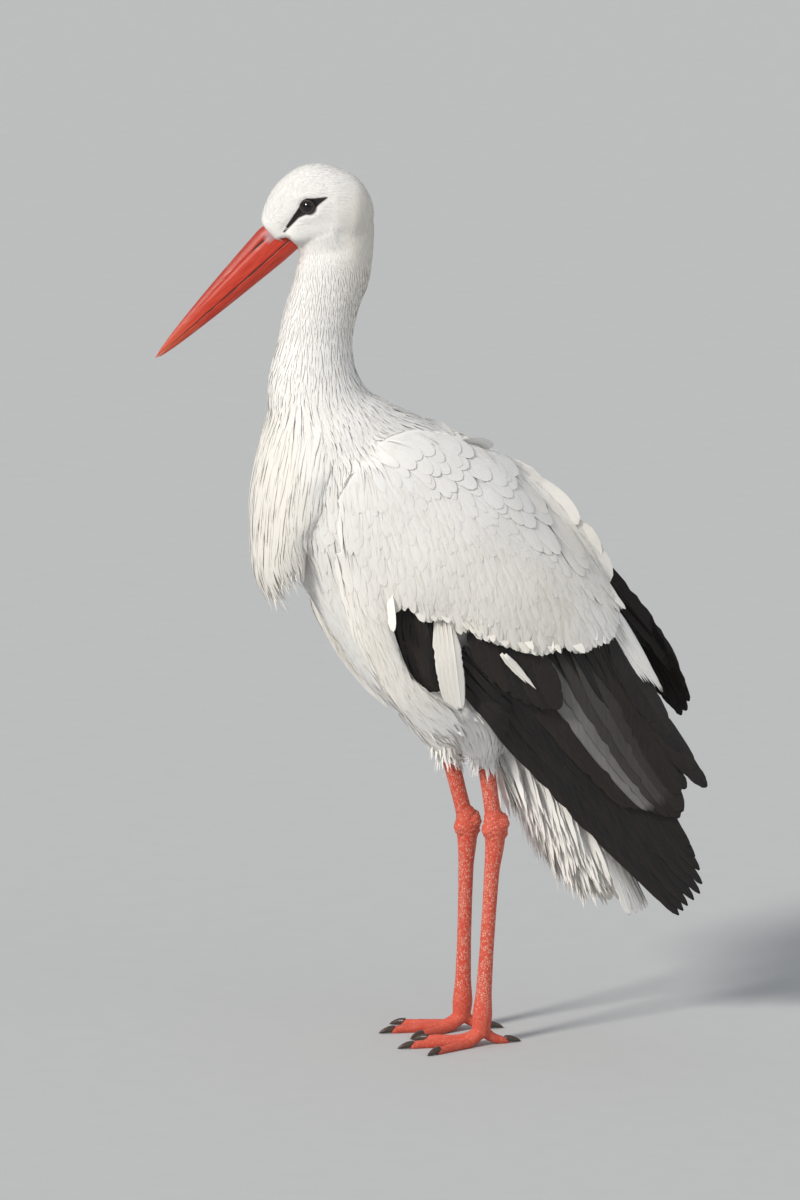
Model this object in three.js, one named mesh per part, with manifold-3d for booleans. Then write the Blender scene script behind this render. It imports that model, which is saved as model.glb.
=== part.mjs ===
// A life-size white stork, standing at ease: an upright S of a neck, the head turned a little to its
// right, the left wing let down beside the body and the right wing folded high, both feet flat.
//
// Millimetres. +Z is up, -X is where the body faces, -Y is the bird's left. The floor is z = 0, and the
// origin is the middle of the model's box at floor level.
import * as THREE from "three";
import { mergeVertices } from "three/addons/utils/BufferGeometryUtils.js";
import Module from "manifold-3d";

const wasm = await Module();
wasm.setup();

// ---------------------------------------------------------------- driving dimensions

const GAP = 0.3; // clear space left between pieces that meet
const THIN_CUT = 0.4; // width of the cuts that part the flesh
const LEFT = -1;
const RIGHT = 1;

const HEAD_TURN = THREE.MathUtils.degToRad(14); // to the bird's right, away from the line of its body
const NECK_AXIS_X = -131; // the head turns about an upright line through here

const BILL_LENGTH = 161; // along the line where the two halves meet
const BILL_PITCH = THREE.MathUtils.degToRad(42); // below level
const BILL_BASE = { forward: 68, up: 805 };
const BILL_HALF_WIDTH = 12;
const UPPER_BILL_DEPTH = 27;
const LOWER_BILL_DEPTH = 12.5;

const EYE_RADIUS = 9;
const EYE_PLACE = { forward: 35, up: 853, side: 22.5 };

const VANE_THICKNESS = 2.6; // of the flight feathers at their roots

const ANKLE_RADIUS = 12.5;
const SHANK_RADIUS = 7.2; // the bare leg at its thinnest
const TOE_JOINT_UP = 20;

// ---------------------------------------------------------------- materials

const finish = (color, roughness, metalness = 0) =>
  new THREE.MeshStandardMaterial({ color, roughness, metalness });
const WHITE_PLUMAGE = finish(0xf1eee6, 0.9);
const BLACK_PLUMAGE = finish(0x1d1b1a, 0.55);
const RED_HORN = finish(0xc63a22, 0.4);
const RED_SKIN = finish(0xd9563c, 0.6);
const DARK_HORN = finish(0x3a2a24, 0.5);
const EYE_DARK = finish(0x140e0c, 0.1);

// ---------------------------------------------------------------- shapes

const point = (x, y, z) => new THREE.Vector3(x, y, z);
const inBody = ([x, z]) => point(x, 0, z); // a point of the body's middle plane

// A point of the head's middle plane, which is turned about the neck's axis.
const inHead = ([forward, up], side = 0) =>
  point(
    NECK_AXIS_X - forward * Math.cos(HEAD_TURN) + side * Math.sin(HEAD_TURN),
    forward * Math.sin(HEAD_TURN) + side * Math.cos(HEAD_TURN),
    up,
  );

const smoothThrough = (points) =>
  points.length > 1 ? new THREE.CatmullRomCurve3(points, false, "centripetal") : null;

// Values at even steps of 0..1, with a smooth run between them.
function smoothValue(values, at) {
  const place = at * (values.length - 1);
  const low = Math.min(Math.floor(place), values.length - 2);
  const t = THREE.MathUtils.smoothstep(place - low, 0, 1) * 0.4 + (place - low) * 0.6;
  return THREE.MathUtils.lerp(values[low], values[low + 1], t);
}

const ROUND_SECTION = (angle) => [Math.cos(angle), Math.sin(angle)];
// Flat below and arched above, as a half of the bill is.
const ARCHED_SECTION = (angle) => [
  Math.cos(angle),
  2 * Math.max(0, Math.sin(angle)) ** 0.85 - 1,
];

// A closed body through stations. Each has the two points where its outline shows from the side, and half
// its width. It is a sphere's net, pole to pole, drawn out over the stations.
function loft(stations, { around = 16, along = 12, side = point(0, 1, 0), section = ROUND_SECTION } = {}) {
  const upper = smoothThrough(stations.map((s) => s.over));
  const lower = smoothThrough(stations.map((s) => s.under));
  const halves = stations.map((s) => s.half);
  const net = new THREE.SphereGeometry(1, around, along);
  const { position, uv } = net.attributes;
  for (let i = 0; i < position.count; i++) {
    const at = 1 - uv.getY(i);
    const isPole = at < 1e-6 || at > 1 - 1e-6;
    const over = upper.getPoint(at);
    const under = lower.getPoint(at);
    const middle = over.clone().add(under).multiplyScalar(0.5);
    const rise = over.clone().sub(middle);
    const [across, up] = isPole ? [0, 0] : section(uv.getX(i) * 2 * Math.PI);
    middle.addScaledVector(side, across * smoothValue(halves, at)).addScaledVector(rise, up);
    position.setXYZ(i, middle.x, middle.y, middle.z);
  }
  return net;
}

// A tube of round sections through centres with their radii: [x, y, z, radius].
function limb(centres, { around = 10, along = 10 } = {}) {
  const line = smoothThrough(centres.map(([x, y, z]) => point(x, y, z)));
  const radii = centres.map((c) => c[3]);
  const net = new THREE.SphereGeometry(1, around, along);
  const { position, uv } = net.attributes;
  for (let i = 0; i < position.count; i++) {
    const at = 1 - uv.getY(i);
    const isPole = at < 1e-6 || at > 1 - 1e-6;
    const ahead = line.getTangent(at);
    const across = point(0, 1, 0).addScaledVector(ahead, -ahead.y).normalize();
    const up = across.clone().cross(ahead);
    const radius = isPole ? 0 : smoothValue(radii, at);
    const angle = uv.getX(i) * 2 * Math.PI;
    const place = line
      .getPoint(at)
      .addScaledVector(across, Math.cos(angle) * radius)
      .addScaledVector(up, -Math.sin(angle) * radius);
    position.setXYZ(i, place.x, place.y, place.z);
  }
  return net;
}

// A sheet of overlapping feathers, from a root line to a line of tips. place(a, b) is its middle surface
// and out(a, b) the way it faces. Every feather's outer edge stands a little proud of the next one.
function featherFan({ feathers, place, out, thickness, notch = 0.08, lap = 1.2, along = 2, samples = 3 }) {
  const net = new THREE.BoxGeometry(1, 1, 1, feathers * samples, along, 1);
  const { position } = net.attributes;
  for (let i = 0; i < position.count; i++) {
    const a = position.getX(i) + 0.5;
    const b = 0.5 - position.getY(i);
    const face = position.getZ(i) * 2;
    const inFeather = (((a * feathers) % 1) + 1) % 1;
    const edge = Math.abs(inFeather - 0.5) * 2;
    const reach = b * (1 - notch * edge ** 2 * b);
    const lift = lap * (0.5 - inFeather) * b;
    const made = place(a, reach).addScaledVector(out(a, reach), (face * thickness(a, b)) / 2 + lift);
    position.setXYZ(i, made.x, made.y, made.z);
  }
  return net;
}

// A lens with a closed outline: thick in the middle, thin at its edge. It lies on the surface that
// place(x, z, out) sets, standing out from it by the rise and sinking below it by the depth.
function pillow({ outline, place, rise, depth, around = 24, along = 6 }) {
  const rim = new THREE.CatmullRomCurve3(outline.map(inBody), true, "centripetal");
  const centre = outline
    .reduce((sum, p) => sum.add(inBody(p)), point(0, 0, 0))
    .multiplyScalar(1 / outline.length);
  const net = new THREE.SphereGeometry(1, around, along);
  const { position, uv } = net.attributes;
  for (let i = 0; i < position.count; i++) {
    const height = Math.cos(Math.PI * (1 - uv.getY(i)));
    const reach = Math.sqrt(Math.max(0, 1 - height * height));
    const spot = centre.clone().lerp(rim.getPoint(uv.getX(i) % 1), reach);
    const made = place(spot.x, spot.z, height * (height > 0 ? rise : depth));
    position.setXYZ(i, made.x, made.y, made.z);
  }
  return net;
}

// ---------------------------------------------------------------- solids

// A net with its seams joined and every face turned outwards.
function closedNet(geometry) {
  const bare = geometry.clone().deleteAttribute("normal").deleteAttribute("uv");
  const net = mergeVertices(bare, 1e-3);
  const corner = (i) => new THREE.Vector3().fromBufferAttribute(net.attributes.position, net.index.getX(i));
  let volume = 0;
  for (let i = 0; i < net.index.count; i += 3)
    volume += corner(i).dot(corner(i + 1).cross(corner(i + 2)));
  if (volume < 0) net.index.array.reverse();
  return net;
}

// The solid inside a net. With grow, the net is first swollen by that much all round.
function toSolid(geometry, grow = 0) {
  const net = closedNet(geometry);
  const { position } = net.attributes;
  net.computeVertexNormals();
  for (let i = 0; grow && i < position.count; i++) {
    const outwards = new THREE.Vector3().fromBufferAttribute(net.attributes.normal, i);
    const place = new THREE.Vector3().fromBufferAttribute(position, i).addScaledVector(outwards, grow);
    position.setXYZ(i, place.x, place.y, place.z);
  }
  return new wasm.Manifold(
    new wasm.Mesh({
      numProp: 3,
      vertProperties: position.array,
      triVerts: new Uint32Array(net.index.array),
    }),
  );
}

function toGeometry(solid) {
  const { numProp, numVert, vertProperties, triVerts } = solid.getMesh();
  const places = new Float32Array(numVert * 3);
  for (let i = 0; i < numVert; i++)
    places.set(vertProperties.subarray(i * numProp, i * numProp + 3), i * 3);
  const geometry = new THREE.BufferGeometry();
  geometry.setAttribute("position", new THREE.BufferAttribute(places, 3));
  geometry.setIndex(new THREE.BufferAttribute(new Uint32Array(triVerts), 1));
  return geometry;
}

const largestBody = (solid) =>
  solid.decompose().reduce((best, body) => (body.volume() > best.volume() ? body : best));

// A solid without the crumbs a cut can leave, nor those that hang on by less than a thousandth.
const mainBody = (solid) => largestBody(toSolid(toGeometry(largestBody(solid))));

const PLENTY = 2000; // wider than the whole bird

// A slab across the flesh at a point, facing along a direction of the middle plane.
function slab([x, z], [dx, dz], width) {
  const box = new THREE.BoxGeometry(PLENTY, PLENTY, width);
  box.applyQuaternion(
    new THREE.Quaternion().setFromUnitVectors(point(0, 0, 1), point(dx, 0, dz).normalize()),
  );
  return toSolid(box.translate(x, 0, z));
}

// The two sides of a thin cut: [the side it faces, the other side].
function parted(solid, at, facing, within = null) {
  const length = Math.hypot(...facing);
  const shift = PLENTY / 4 + THIN_CUT / 2;
  const [dx, dz] = facing.map((v) => v / length);
  const ahead = slab([at[0] + dx * shift, at[1] + dz * shift], facing, PLENTY / 2);
  const behind = slab([at[0] - dx * shift, at[1] - dz * shift], facing, PLENTY / 2);
  const near = within ? solid.intersect(within) : solid;
  return [near.intersect(ahead), solid.intersect(behind)];
}

const floorBox = new THREE.BoxGeometry(PLENTY, PLENTY, PLENTY).translate(0, 0, -PLENTY / 2);
const belowFloor = toSolid(floorBox);

const stork = new THREE.Group();

function addNode(name, solid, material) {
  const mesh = new THREE.Mesh(toGeometry(mainBody(solid)), material);
  mesh.name = name;
  stork.add(mesh);
  return mesh;
}

// ---------------------------------------------------------------- head, neck and trunk

const HEAD_STATIONS = [
  { over: [69, 823], under: [67, 821], half: 1 },
  { over: [83, 832], under: [54, 802], half: 14 },
  { over: [81, 849], under: [42, 804], half: 22 },
  { over: [68, 873], under: [30, 807], half: 28 },
  { over: [42, 892], under: [15, 810], half: 31 },
  { over: [12, 892], under: [0, 807], half: 31 },
  { over: [-15, 878], under: [-7, 804], half: 27 },
  { over: [-29, 855], under: [-17, 814], half: 17 },
  { over: [-31, 838], under: [-28, 832], half: 2 },
].map(({ over, under, half }) => ({ over: inHead(over), under: inHead(under), half }));

const NECK_STATIONS = [
  { over: [-122, 848], under: [-160, 845], half: 6 },
  { over: [-104, 820], under: [-171, 820], half: 26 },
  { over: [-103, 796], under: [-179, 793], half: 29 },
  { over: [-107, 772], under: [-184, 772], half: 29 },
  { over: [-117, 748], under: [-192, 748], half: 29 },
  { over: [-121, 724], under: [-198, 727], half: 31 },
  { over: [-121, 702], under: [-203, 706], half: 35 },
  { over: [-114, 678], under: [-210, 680], half: 42 },
  { over: [-96, 655], under: [-211, 650], half: 50 },
  { over: [-80, 610], under: [-190, 600], half: 52 },
  { over: [-100, 590], under: [-150, 585], half: 10 },
].map(({ over, under, half }) => ({ over: inBody(over), under: inBody(under), half }));

const TRUNK_STATIONS = [
  { over: [-130, 655], under: [-190, 648], half: 8 },
  { over: [-104, 663], under: [-207, 640], half: 50 },
  { over: [-80, 651], under: [-210, 600], half: 66 },
  { over: [-48, 635], under: [-205, 552], half: 78 },
  { over: [-12, 614], under: [-191, 500], half: 85 },
  { over: [22, 590], under: [-165, 452], half: 88 },
  { over: [50, 560], under: [-136, 404], half: 88 },
  { over: [72, 522], under: [-103, 360], half: 85 },
  { over: [90, 474], under: [-60, 326], half: 79 },
  { over: [106, 420], under: [-18, 307], half: 70 },
  { over: [121, 363], under: [24, 282], half: 58 },
  { over: [134, 312], under: [56, 232], half: 47 },
  { over: [146, 272], under: [84, 194], half: 37 },
  { over: [150, 238], under: [104, 171], half: 27 },
  { over: [142, 206], under: [124, 168], half: 6 },
].map(({ over, under, half }) => ({ over: inBody(over), under: inBody(under), half }));

const headSide = point(Math.sin(HEAD_TURN), Math.cos(HEAD_TURN), 0);
const headLoft = (grow) => toSolid(loft(HEAD_STATIONS, { around: 14, along: 10, side: headSide }), grow);
const neckLoft = (grow) => toSolid(loft(NECK_STATIONS, { around: 12, along: 11 }), grow);
const trunkLoft = (grow) => toSolid(loft(TRUNK_STATIONS, { around: 18, along: 14 }), grow);

// The feathered shank of each leg, from inside the belly to where the bare leg shows.
const LEGS = {
  left: { side: LEFT, knee: [-14, -38, 372], thighEnd: [5, -37, 290], ankle: [15, -36, 222], toes: [1, -38] },
  right: { side: RIGHT, knee: [-36, 36, 366], thighEnd: [-14, 34, 284], ankle: [4, 33, 212], toes: [0, 36] },
};

const thighLimb = ({ knee, thighEnd }, grow = 0) =>
  toSolid(
    limb(
      [
        [...knee, 4],
        [...lerp3(knee, thighEnd, 0.25), 44],
        [...lerp3(knee, thighEnd, 0.6), 33],
        [...lerp3(knee, thighEnd, 0.9), 20],
        [...lerp3(knee, thighEnd, 1.08), 11],
        [...lerp3(knee, thighEnd, 1.1), 2],
      ],
      { around: 12, along: 6 },
    ),
    grow,
  );

function lerp3(a, b, t) {
  return a.map((v, i) => v + (b[i] - v) * t);
}

const flesh = (grow) =>
  headLoft(grow)
    .add(neckLoft(grow))
    .add(trunkLoft(grow))
    .add(thighLimb(LEGS.left, grow))
    .add(thighLimb(LEGS.right, grow));
const wholeFlesh = flesh(0);
const fleshRoom = flesh(GAP); // what other pieces keep clear of

const HEAD_CUT = { at: [-140, 796], facing: [-0.12, 1] };
const NECK_CUT = { at: [-156, 728], facing: [-0.05, 1] };
const TRUNK_CUT = { at: [-155, 664], facing: [-0.1, 1] };

const [headPart, belowHead] = parted(wholeFlesh, HEAD_CUT.at, HEAD_CUT.facing);
const [neckUpper, belowNeck] = parted(belowHead, NECK_CUT.at, NECK_CUT.facing);
const [neckLower, belowBody] = parted(belowNeck, TRUNK_CUT.at, TRUNK_CUT.facing);

// Each thigh is parted from the belly where it comes out.
function thighRoom({ thighEnd, side }) {
  const [x, y, z] = thighEnd;
  const box = new THREE.BoxGeometry(130, 74, 90).translate(x, y + side * 1.5, z + 6);
  return toSolid(box);
}

let trunk = belowBody;
for (const [name, leg] of Object.entries(LEGS)) {
  const own = thighLimb(leg).intersect(thighRoom(leg)).subtract(trunkLoft(GAP));
  trunk = trunk.subtract(thighLimb(leg, GAP).intersect(thighRoom(leg)).subtract(trunkLoft(0)));
  leg.thigh = own;
  leg.name = name;
}

const eyeBall = (side, grow = 0) => {
  const place = inHead([EYE_PLACE.forward, EYE_PLACE.up], side * EYE_PLACE.side);
  return toSolid(
    new THREE.SphereGeometry(EYE_RADIUS, 10, 7).translate(place.x, place.y, place.z),
    grow,
  );
};

addNode("head", headPart.subtract(eyeBall(LEFT, GAP)).subtract(eyeBall(RIGHT, GAP)), WHITE_PLUMAGE);
addNode("neck_upper", neckUpper, WHITE_PLUMAGE);
addNode("neck_lower", neckLower, WHITE_PLUMAGE);
addNode("eye_left", eyeBall(LEFT), EYE_DARK);
addNode("eye_right", eyeBall(RIGHT), EYE_DARK);

// ---------------------------------------------------------------- bill

// A point of the bill: how far along from the base, and how far above the line where the halves meet.
function onBill(along, above) {
  const { forward, up } = BILL_BASE;
  return inHead([
    forward + along * Math.cos(BILL_PITCH) + above * Math.sin(BILL_PITCH),
    up - along * Math.sin(BILL_PITCH) + above * Math.cos(BILL_PITCH),
  ]);
}

const BILL_STEPS = 9;
const BILL_ROOT = -14; // the bill starts this far inside the feathers, and the head then cuts it

function billHalf({ depth, power, meets, length }) {
  const stations = [];
  for (let i = 0; i <= BILL_STEPS; i++) {
    const along = THREE.MathUtils.lerp(BILL_ROOT, length, i / BILL_STEPS);
    const left = Math.max(0.002, 1 - Math.max(0, along) / length);
    const edge = onBill(along, meets);
    const ridge = onBill(along, meets + depth * left ** power);
    const [over, under] = depth > 0 ? [ridge, edge] : [edge, ridge];
    stations.push({ over, under, half: BILL_HALF_WIDTH * left ** 0.75 });
  }
  const arch = depth > 0 ? ARCHED_SECTION : (angle) => ARCHED_SECTION(-angle).map((v, i) => (i ? -v : v));
  return toSolid(loft(stations, { around: 10, along: 9, side: headSide, section: arch }));
}

const MEETING_GAP = 0.25;
const upperBill = billHalf({ depth: UPPER_BILL_DEPTH, power: 0.72, meets: MEETING_GAP, length: BILL_LENGTH });
const lowerBill = billHalf({ depth: -LOWER_BILL_DEPTH, power: 0.55, meets: -MEETING_GAP, length: BILL_LENGTH - 3 });
addNode("bill_upper", upperBill.subtract(fleshRoom), RED_HORN);
addNode("bill_lower", lowerBill.subtract(fleshRoom), RED_HORN);

// ---------------------------------------------------------------- wings

const TRUNK_CENTRE = [-10, 470];
const TRUNK_AXIS = [0.63, -0.776]; // from breast to tail
const TRUNK_BACK = [0.776, 0.63]; // towards the back
const WING_REACH = [78, 88, 96, 97, 90, 80, 69, 60, 54]; // from shoulder to wing tip
const WING_REACH_FROM = -200;
const WING_REACH_TO = 400;

// How far from the middle plane the wing lies: hanging straight below, and closing in over the back.
function wingReach(x, z) {
  const dx = x - TRUNK_CENTRE[0];
  const dz = z - TRUNK_CENTRE[1];
  const along = dx * TRUNK_AXIS[0] + dz * TRUNK_AXIS[1];
  const towardsBack = dx * TRUNK_BACK[0] + dz * TRUNK_BACK[1];
  const share = THREE.MathUtils.clamp(
    (along - WING_REACH_FROM) / (WING_REACH_TO - WING_REACH_FROM), 0, 1);
  const closing = THREE.MathUtils.clamp((towardsBack + 30) / 150, 0, 0.93);
  return smoothValue(WING_REACH, share) * Math.sqrt(1 - closing ** 2);
}

const WINGS = { left: LEFT, right: RIGHT };

const onWing = (side, [x, z], out) => point(x, side * (wingReach(x, z) + out), z);

// Feathers that fan out from a line of roots to a line of tips, on a layer so far out from the wing's
// middle. Their tips close in on the tail, and a bow bends them by a share of their length.
function wingFan(side, { roots, tips, layer, closing = 0, bow = 0, ...detail }, grow = 0) {
  const rootLine = smoothThrough(roots.map(inBody));
  const tipLine = smoothThrough(tips.map(inBody));
  const place = (a, b) => {
    const root = rootLine.getPoint(a);
    const tip = tipLine.getPoint(a);
    const spot = root.clone().lerp(tip, b);
    const rise = bow * 4 * b * (1 - b);
    const dx = tip.x - root.x;
    const dz = tip.z - root.z;
    return onWing(side, [spot.x - dz * rise, spot.z + dx * rise], layer - closing * b);
  };
  const out = () => point(0, side, 0);
  const thickness = (a, b) => VANE_THICKNESS * (1 - 0.5 * b);
  return toSolid(featherFan({ place, out, thickness, lap: 1.2, notch: 0.06, ...detail }), grow);
}

const COVERTS = {
  outline: [
    [-152, 596], [-95, 612], [-23, 609], [39, 581], [85, 530], [124, 482], [144, 440], [142, 414],
    [104, 401], [52, 402], [2, 412], [-50, 432], [-92, 446], [-124, 474], [-152, 509], [-164, 555],
  ],
  rise: 12, depth: 3, layer: 0, around: 20,
};
const SCAPULARS = {
  outline: [
    [-118, 628], [-78, 640], [-34, 628], [16, 606], [62, 574], [102, 530], [128, 482], [116, 476],
    [70, 508], [10, 552], [-50, 590], [-100, 606],
  ],
  rise: 10, depth: 7, layer: -3, around: 18,
};
const FLANK = {
  outline: [
    [-166, 522], [-140, 510], [-116, 484], [-99, 428], [-82, 388], [-56, 366], [-30, 344], [-50, 322],
    [-88, 342], [-126, 392], [-154, 450],
  ],
  rise: 13, depth: 10, layer: -2, around: 16,
};

// The flight feathers of the let-down left wing and of the folded right one.
const FLIGHT = {
  left: {
    primaries: {
      roots: [[-44, 396], [-8, 424], [36, 436]],
      tips: [[206, 119], [217, 131], [231, 147], [223, 182], [208, 208]],
      feathers: 7, layer: -13.6, bow: 0.035,
    },
    secondaries: {
      roots: [[-14, 428], [52, 424], [120, 428]],
      tips: [[146, 240], [168, 236], [190, 228], [206, 226], [200, 258]],
      feathers: 6, samples: 2, layer: -9.4, closing: 10,
    },
    tertials: {
      roots: [[72, 424], [106, 422], [126, 436]],
      tips: [[196, 256], [234, 254], [212, 284], [194, 310], [168, 334]],
      feathers: 5, layer: -5.2, closing: 10, notch: 0.12,
    },
  },
  right: {
    primaries: {
      roots: [[-26, 398], [0, 412], [34, 428]],
      tips: [[150, 160], [162, 154], [178, 158], [186, 174], [186, 194]],
      feathers: 7, layer: -13.6, bow: 0.03,
    },
    secondaries: {
      roots: [[-14, 428], [52, 424], [118, 424]],
      tips: [[128, 230], [150, 220], [168, 216], [182, 228], [184, 262]],
      feathers: 6, samples: 2, layer: -9.4, closing: 14,
    },
    tertials: {
      roots: [[66, 470], [86, 500], [72, 536]],
      tips: [[184, 350], [208, 336], [222, 318], [228, 330], [219, 358]],
      feathers: 5, layer: -5.2, closing: 26, bow: 0.05,
    },
  },
};

// The black feathers at the wrist and the white edge of the hand behind them.
const WRIST_FAN = {
  roots: [[-112, 488], [-84, 468], [-58, 448]],
  tips: [[-84, 398], [-66, 374], [-50, 374]],
  feathers: 3, layer: -9, along: 1, samples: 2,
};
const HAND_FAN = {
  roots: [[-62, 448], [-54, 446], [-44, 442]],
  tips: [[-48, 362], [-39, 352], [-31, 356]],
  feathers: 2, layer: -6, along: 1,
};

function covered(side, { layer, ...detail }, grow = 0) {
  const place = (x, z, out) => onWing(side, [x, z], layer + out);
  return toSolid(pillow({ place, ...detail }), grow);
}

let wingsRoom = null;
for (const [name, side] of Object.entries(WINGS)) {
  let room = fleshRoom;
  const place = (part, material, make) => {
    addNode(`wing_${name}_${part}`, make(0).subtract(room), material);
    room = room.add(make(1.5 * GAP));
  };
  place("scapulars", WHITE_PLUMAGE, (grow) => covered(side, SCAPULARS, grow));
  place("coverts", WHITE_PLUMAGE, (grow) => covered(side, COVERTS, grow));
  place("flank", WHITE_PLUMAGE, (grow) => covered(side, FLANK, grow));
  for (const [part, fan] of Object.entries(FLIGHT[name]))
    place(part, BLACK_PLUMAGE, (grow) => wingFan(side, fan, grow));
  place("hand", WHITE_PLUMAGE, (grow) => wingFan(side, HAND_FAN, grow));
  place("wrist", BLACK_PLUMAGE, (grow) => wingFan(side, WRIST_FAN, grow));
  wingsRoom = wingsRoom ? wingsRoom.add(room) : room;
}

addNode("trunk", trunk, WHITE_PLUMAGE);

// ---------------------------------------------------------------- breast plumes and tail

// The long plumes of the throat hang over the breast as one layered bib.
const BIB_FRONT = [[-203, 668], [-219, 610], [-227, 566], [-229, 518], [-226, 480], [-208, 440]];
const BIB_WIDTHS = [44, 60, 68, 64, 54, 42];
const BIB_DEPTHS = [40, 54, 62, 62, 54, 44];
const BIB_WRAP = THREE.MathUtils.degToRad(74);

function bib() {
  const front = smoothThrough(BIB_FRONT.map(inBody));
  const turned = (a) => (a - 0.5) * 2 * BIB_WRAP;
  const out = (a) => point(-Math.cos(turned(a)), Math.sin(turned(a)), 0);
  const place = (a, b) => {
    const middle = front.getPoint(b);
    const round = 1 - Math.cos(turned(a));
    const x = middle.x + 9 + smoothValue(BIB_DEPTHS, b) * round;
    return point(x, smoothValue(BIB_WIDTHS, b) * Math.sin(turned(a)), middle.z + 80 * round * b);
  };
  const thickness = (a, b) => 20 * (1 - 0.75 * (2 * a - 1) ** 2) * (1 - 0.45 * b);
  return toSolid(featherFan({ feathers: 7, place, out, thickness, notch: 0.14, lap: 2, along: 4, samples: 2 }));
}
addNode("breast_plumes", bib().subtract(fleshRoom), WHITE_PLUMAGE);

const TAIL_ROOT = [122, 262];
const TAIL_TIP = [184, 128];

function tail() {
  const [rootX, rootZ] = TAIL_ROOT;
  const [dx, dz] = [TAIL_TIP[0] - rootX, TAIL_TIP[1] - rootZ];
  const length = Math.hypot(dx, dz);
  const under = point(dz / length, 0, -dx / length); // towards the belly side of the tail
  const place = (a, b) => {
    const across = (a - 0.5) * 2;
    const droop = (6 + 22 * b) * across ** 2;
    const reach = b * (1 - 0.08 * across ** 2);
    return point(rootX + dx * reach, across * (20 + 14 * b), rootZ + dz * reach).addScaledVector(under, droop);
  };
  const out = () => under.clone().negate();
  const thickness = (a, b) => 7 * (1 - 0.5 * b);
  return toSolid(featherFan({ feathers: 7, samples: 2, place, out, thickness, notch: 0.06, lap: 1.2 }));
}
addNode("tail", tail().subtract(fleshRoom).subtract(wingsRoom), WHITE_PLUMAGE);

// ---------------------------------------------------------------- legs

const TOES = [
  { name: "middle", turn: 0, reach: 76, radius: 6.3, joints: 3 },
  { name: "inner", turn: -29, reach: 61, radius: 5.8, joints: 2 },
  { name: "outer", turn: 31, reach: 66, radius: 5.8, joints: 4 },
  { name: "hind", turn: 186, reach: 31, radius: 5, joints: 1 },
];
const CLAW_LENGTH = 11;

for (const [name, { side, thigh, thighEnd, ankle, toes }] of Object.entries(LEGS)) {
  addNode(`leg_${name}_thigh`, thigh, WHITE_PLUMAGE);
  const [ankleX, ankleY, ankleZ] = ankle;
  const [footX, footY] = toes;

  const shank = () =>
    toSolid(
      limb(
        [
          [...lerp3(thighEnd, ankle, -0.3), 1],
          [...lerp3(thighEnd, ankle, -0.2), 9],
          [...lerp3(thighEnd, ankle, 0.2), 8.4],
          [...lerp3(thighEnd, ankle, 0.6), 8],
          [...lerp3(thighEnd, ankle, 1), 8],
          [...lerp3(thighEnd, ankle, 1.05), 1],
        ],
        { around: 9, along: 4 },
      ),
    );
  const foot = [footX, footY, TOE_JOINT_UP];
  const tarsus = (grow) =>
    toSolid(
      limb(
        [
          [ankleX - 1, ankleY, ankleZ + ANKLE_RADIUS + 6, 2],
          [ankleX - 1, ankleY, ankleZ + ANKLE_RADIUS + 1, 10],
          [ankleX, ankleY, ankleZ, ANKLE_RADIUS],
          [ankleX, ankleY, ankleZ - ANKLE_RADIUS - 4, 10],
          [...lerp3(ankle, foot, 0.22), SHANK_RADIUS + 0.6],
          [...lerp3(ankle, foot, 0.42), SHANK_RADIUS],
          [...lerp3(ankle, foot, 0.62), SHANK_RADIUS],
          [...lerp3(ankle, foot, 0.82), SHANK_RADIUS + 0.8],
          [...lerp3(ankle, foot, 0.95), 10.4],
          [footX - 1, footY, TOE_JOINT_UP - 9, 8.6],
          [footX - 1, footY, TOE_JOINT_UP - 13, 1],
        ],
        { around: 9, along: 13 },
      ),
      grow,
    );
  addNode(`leg_${name}_tibia`, shank().subtract(fleshRoom).subtract(tarsus(GAP)), RED_SKIN);
  addNode(`leg_${name}_tarsus`, tarsus(0), RED_SKIN);
  const footRoom = tarsus(GAP);
  let taken = footRoom;

  for (const toe of TOES) {
    const turn = THREE.MathUtils.degToRad(toe.turn) * -side;
    const along = (reach, up, radius) => [
      footX - Math.cos(turn) * reach,
      footY - Math.sin(turn) * reach,
      up,
      radius,
    ];
    const build = (grow) => {
      const line = [along(-2, 13, 2), along(3, 12.5, toe.radius + 1.2)];
      for (let joint = 0; joint <= toe.joints; joint++) {
        const at = 12 + ((toe.reach - 16) * joint) / toe.joints;
        const size = toe.radius * (1 - (0.34 * joint) / toe.joints);
        line.push(along(at, size * 0.74 + (joint ? 0 : 3), size));
      }
      line.push(along(toe.reach, 3.2, 1));
      return toSolid(limb(line, { around: 6, along: line.length }), grow);
    };
    const claw = toSolid(
      limb(
        [
          along(toe.reach - 6, 4.4, 1),
          along(toe.reach - 5, 4.4, 3.6),
          along(toe.reach, 3.8, 3.6),
          along(toe.reach + CLAW_LENGTH * 0.55, 2.2, 2.6),
          along(toe.reach + CLAW_LENGTH, 0.9, 0.6),
        ],
        { around: 5, along: 4 },
      ),
    );
    const body = build(0).subtract(taken).subtract(belowFloor);
    taken = taken.add(build(GAP));
    addNode(`leg_${name}_toe_${toe.name}`, body, RED_SKIN);
    addNode(`leg_${name}_claw_${toe.name}`, claw.subtract(build(GAP)).subtract(belowFloor), DARK_HORN);
  }
}

// The model's own origin: the middle of its box, on the floor.
const box = new THREE.Box3().setFromObject(stork);
const centre = box.getCenter(new THREE.Vector3());
for (const mesh of stork.children) mesh.geometry.translate(-centre.x, -centre.y, -box.min.z);

export default stork;
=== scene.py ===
"""A life-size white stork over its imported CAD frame: one skin, a coat of solid feathers, bill, eyes and legs.

The bird's own measures are millimetres in the frame that part.mjs is drawn in: -X ahead, -Y the bird's left,
+Z up, with zero on the floor between the feet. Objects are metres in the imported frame.
"""

import math
from itertools import product

import bmesh
import bpy
import numpy as np
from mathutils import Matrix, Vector
from mathutils.bvhtree import BVHTree


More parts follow.
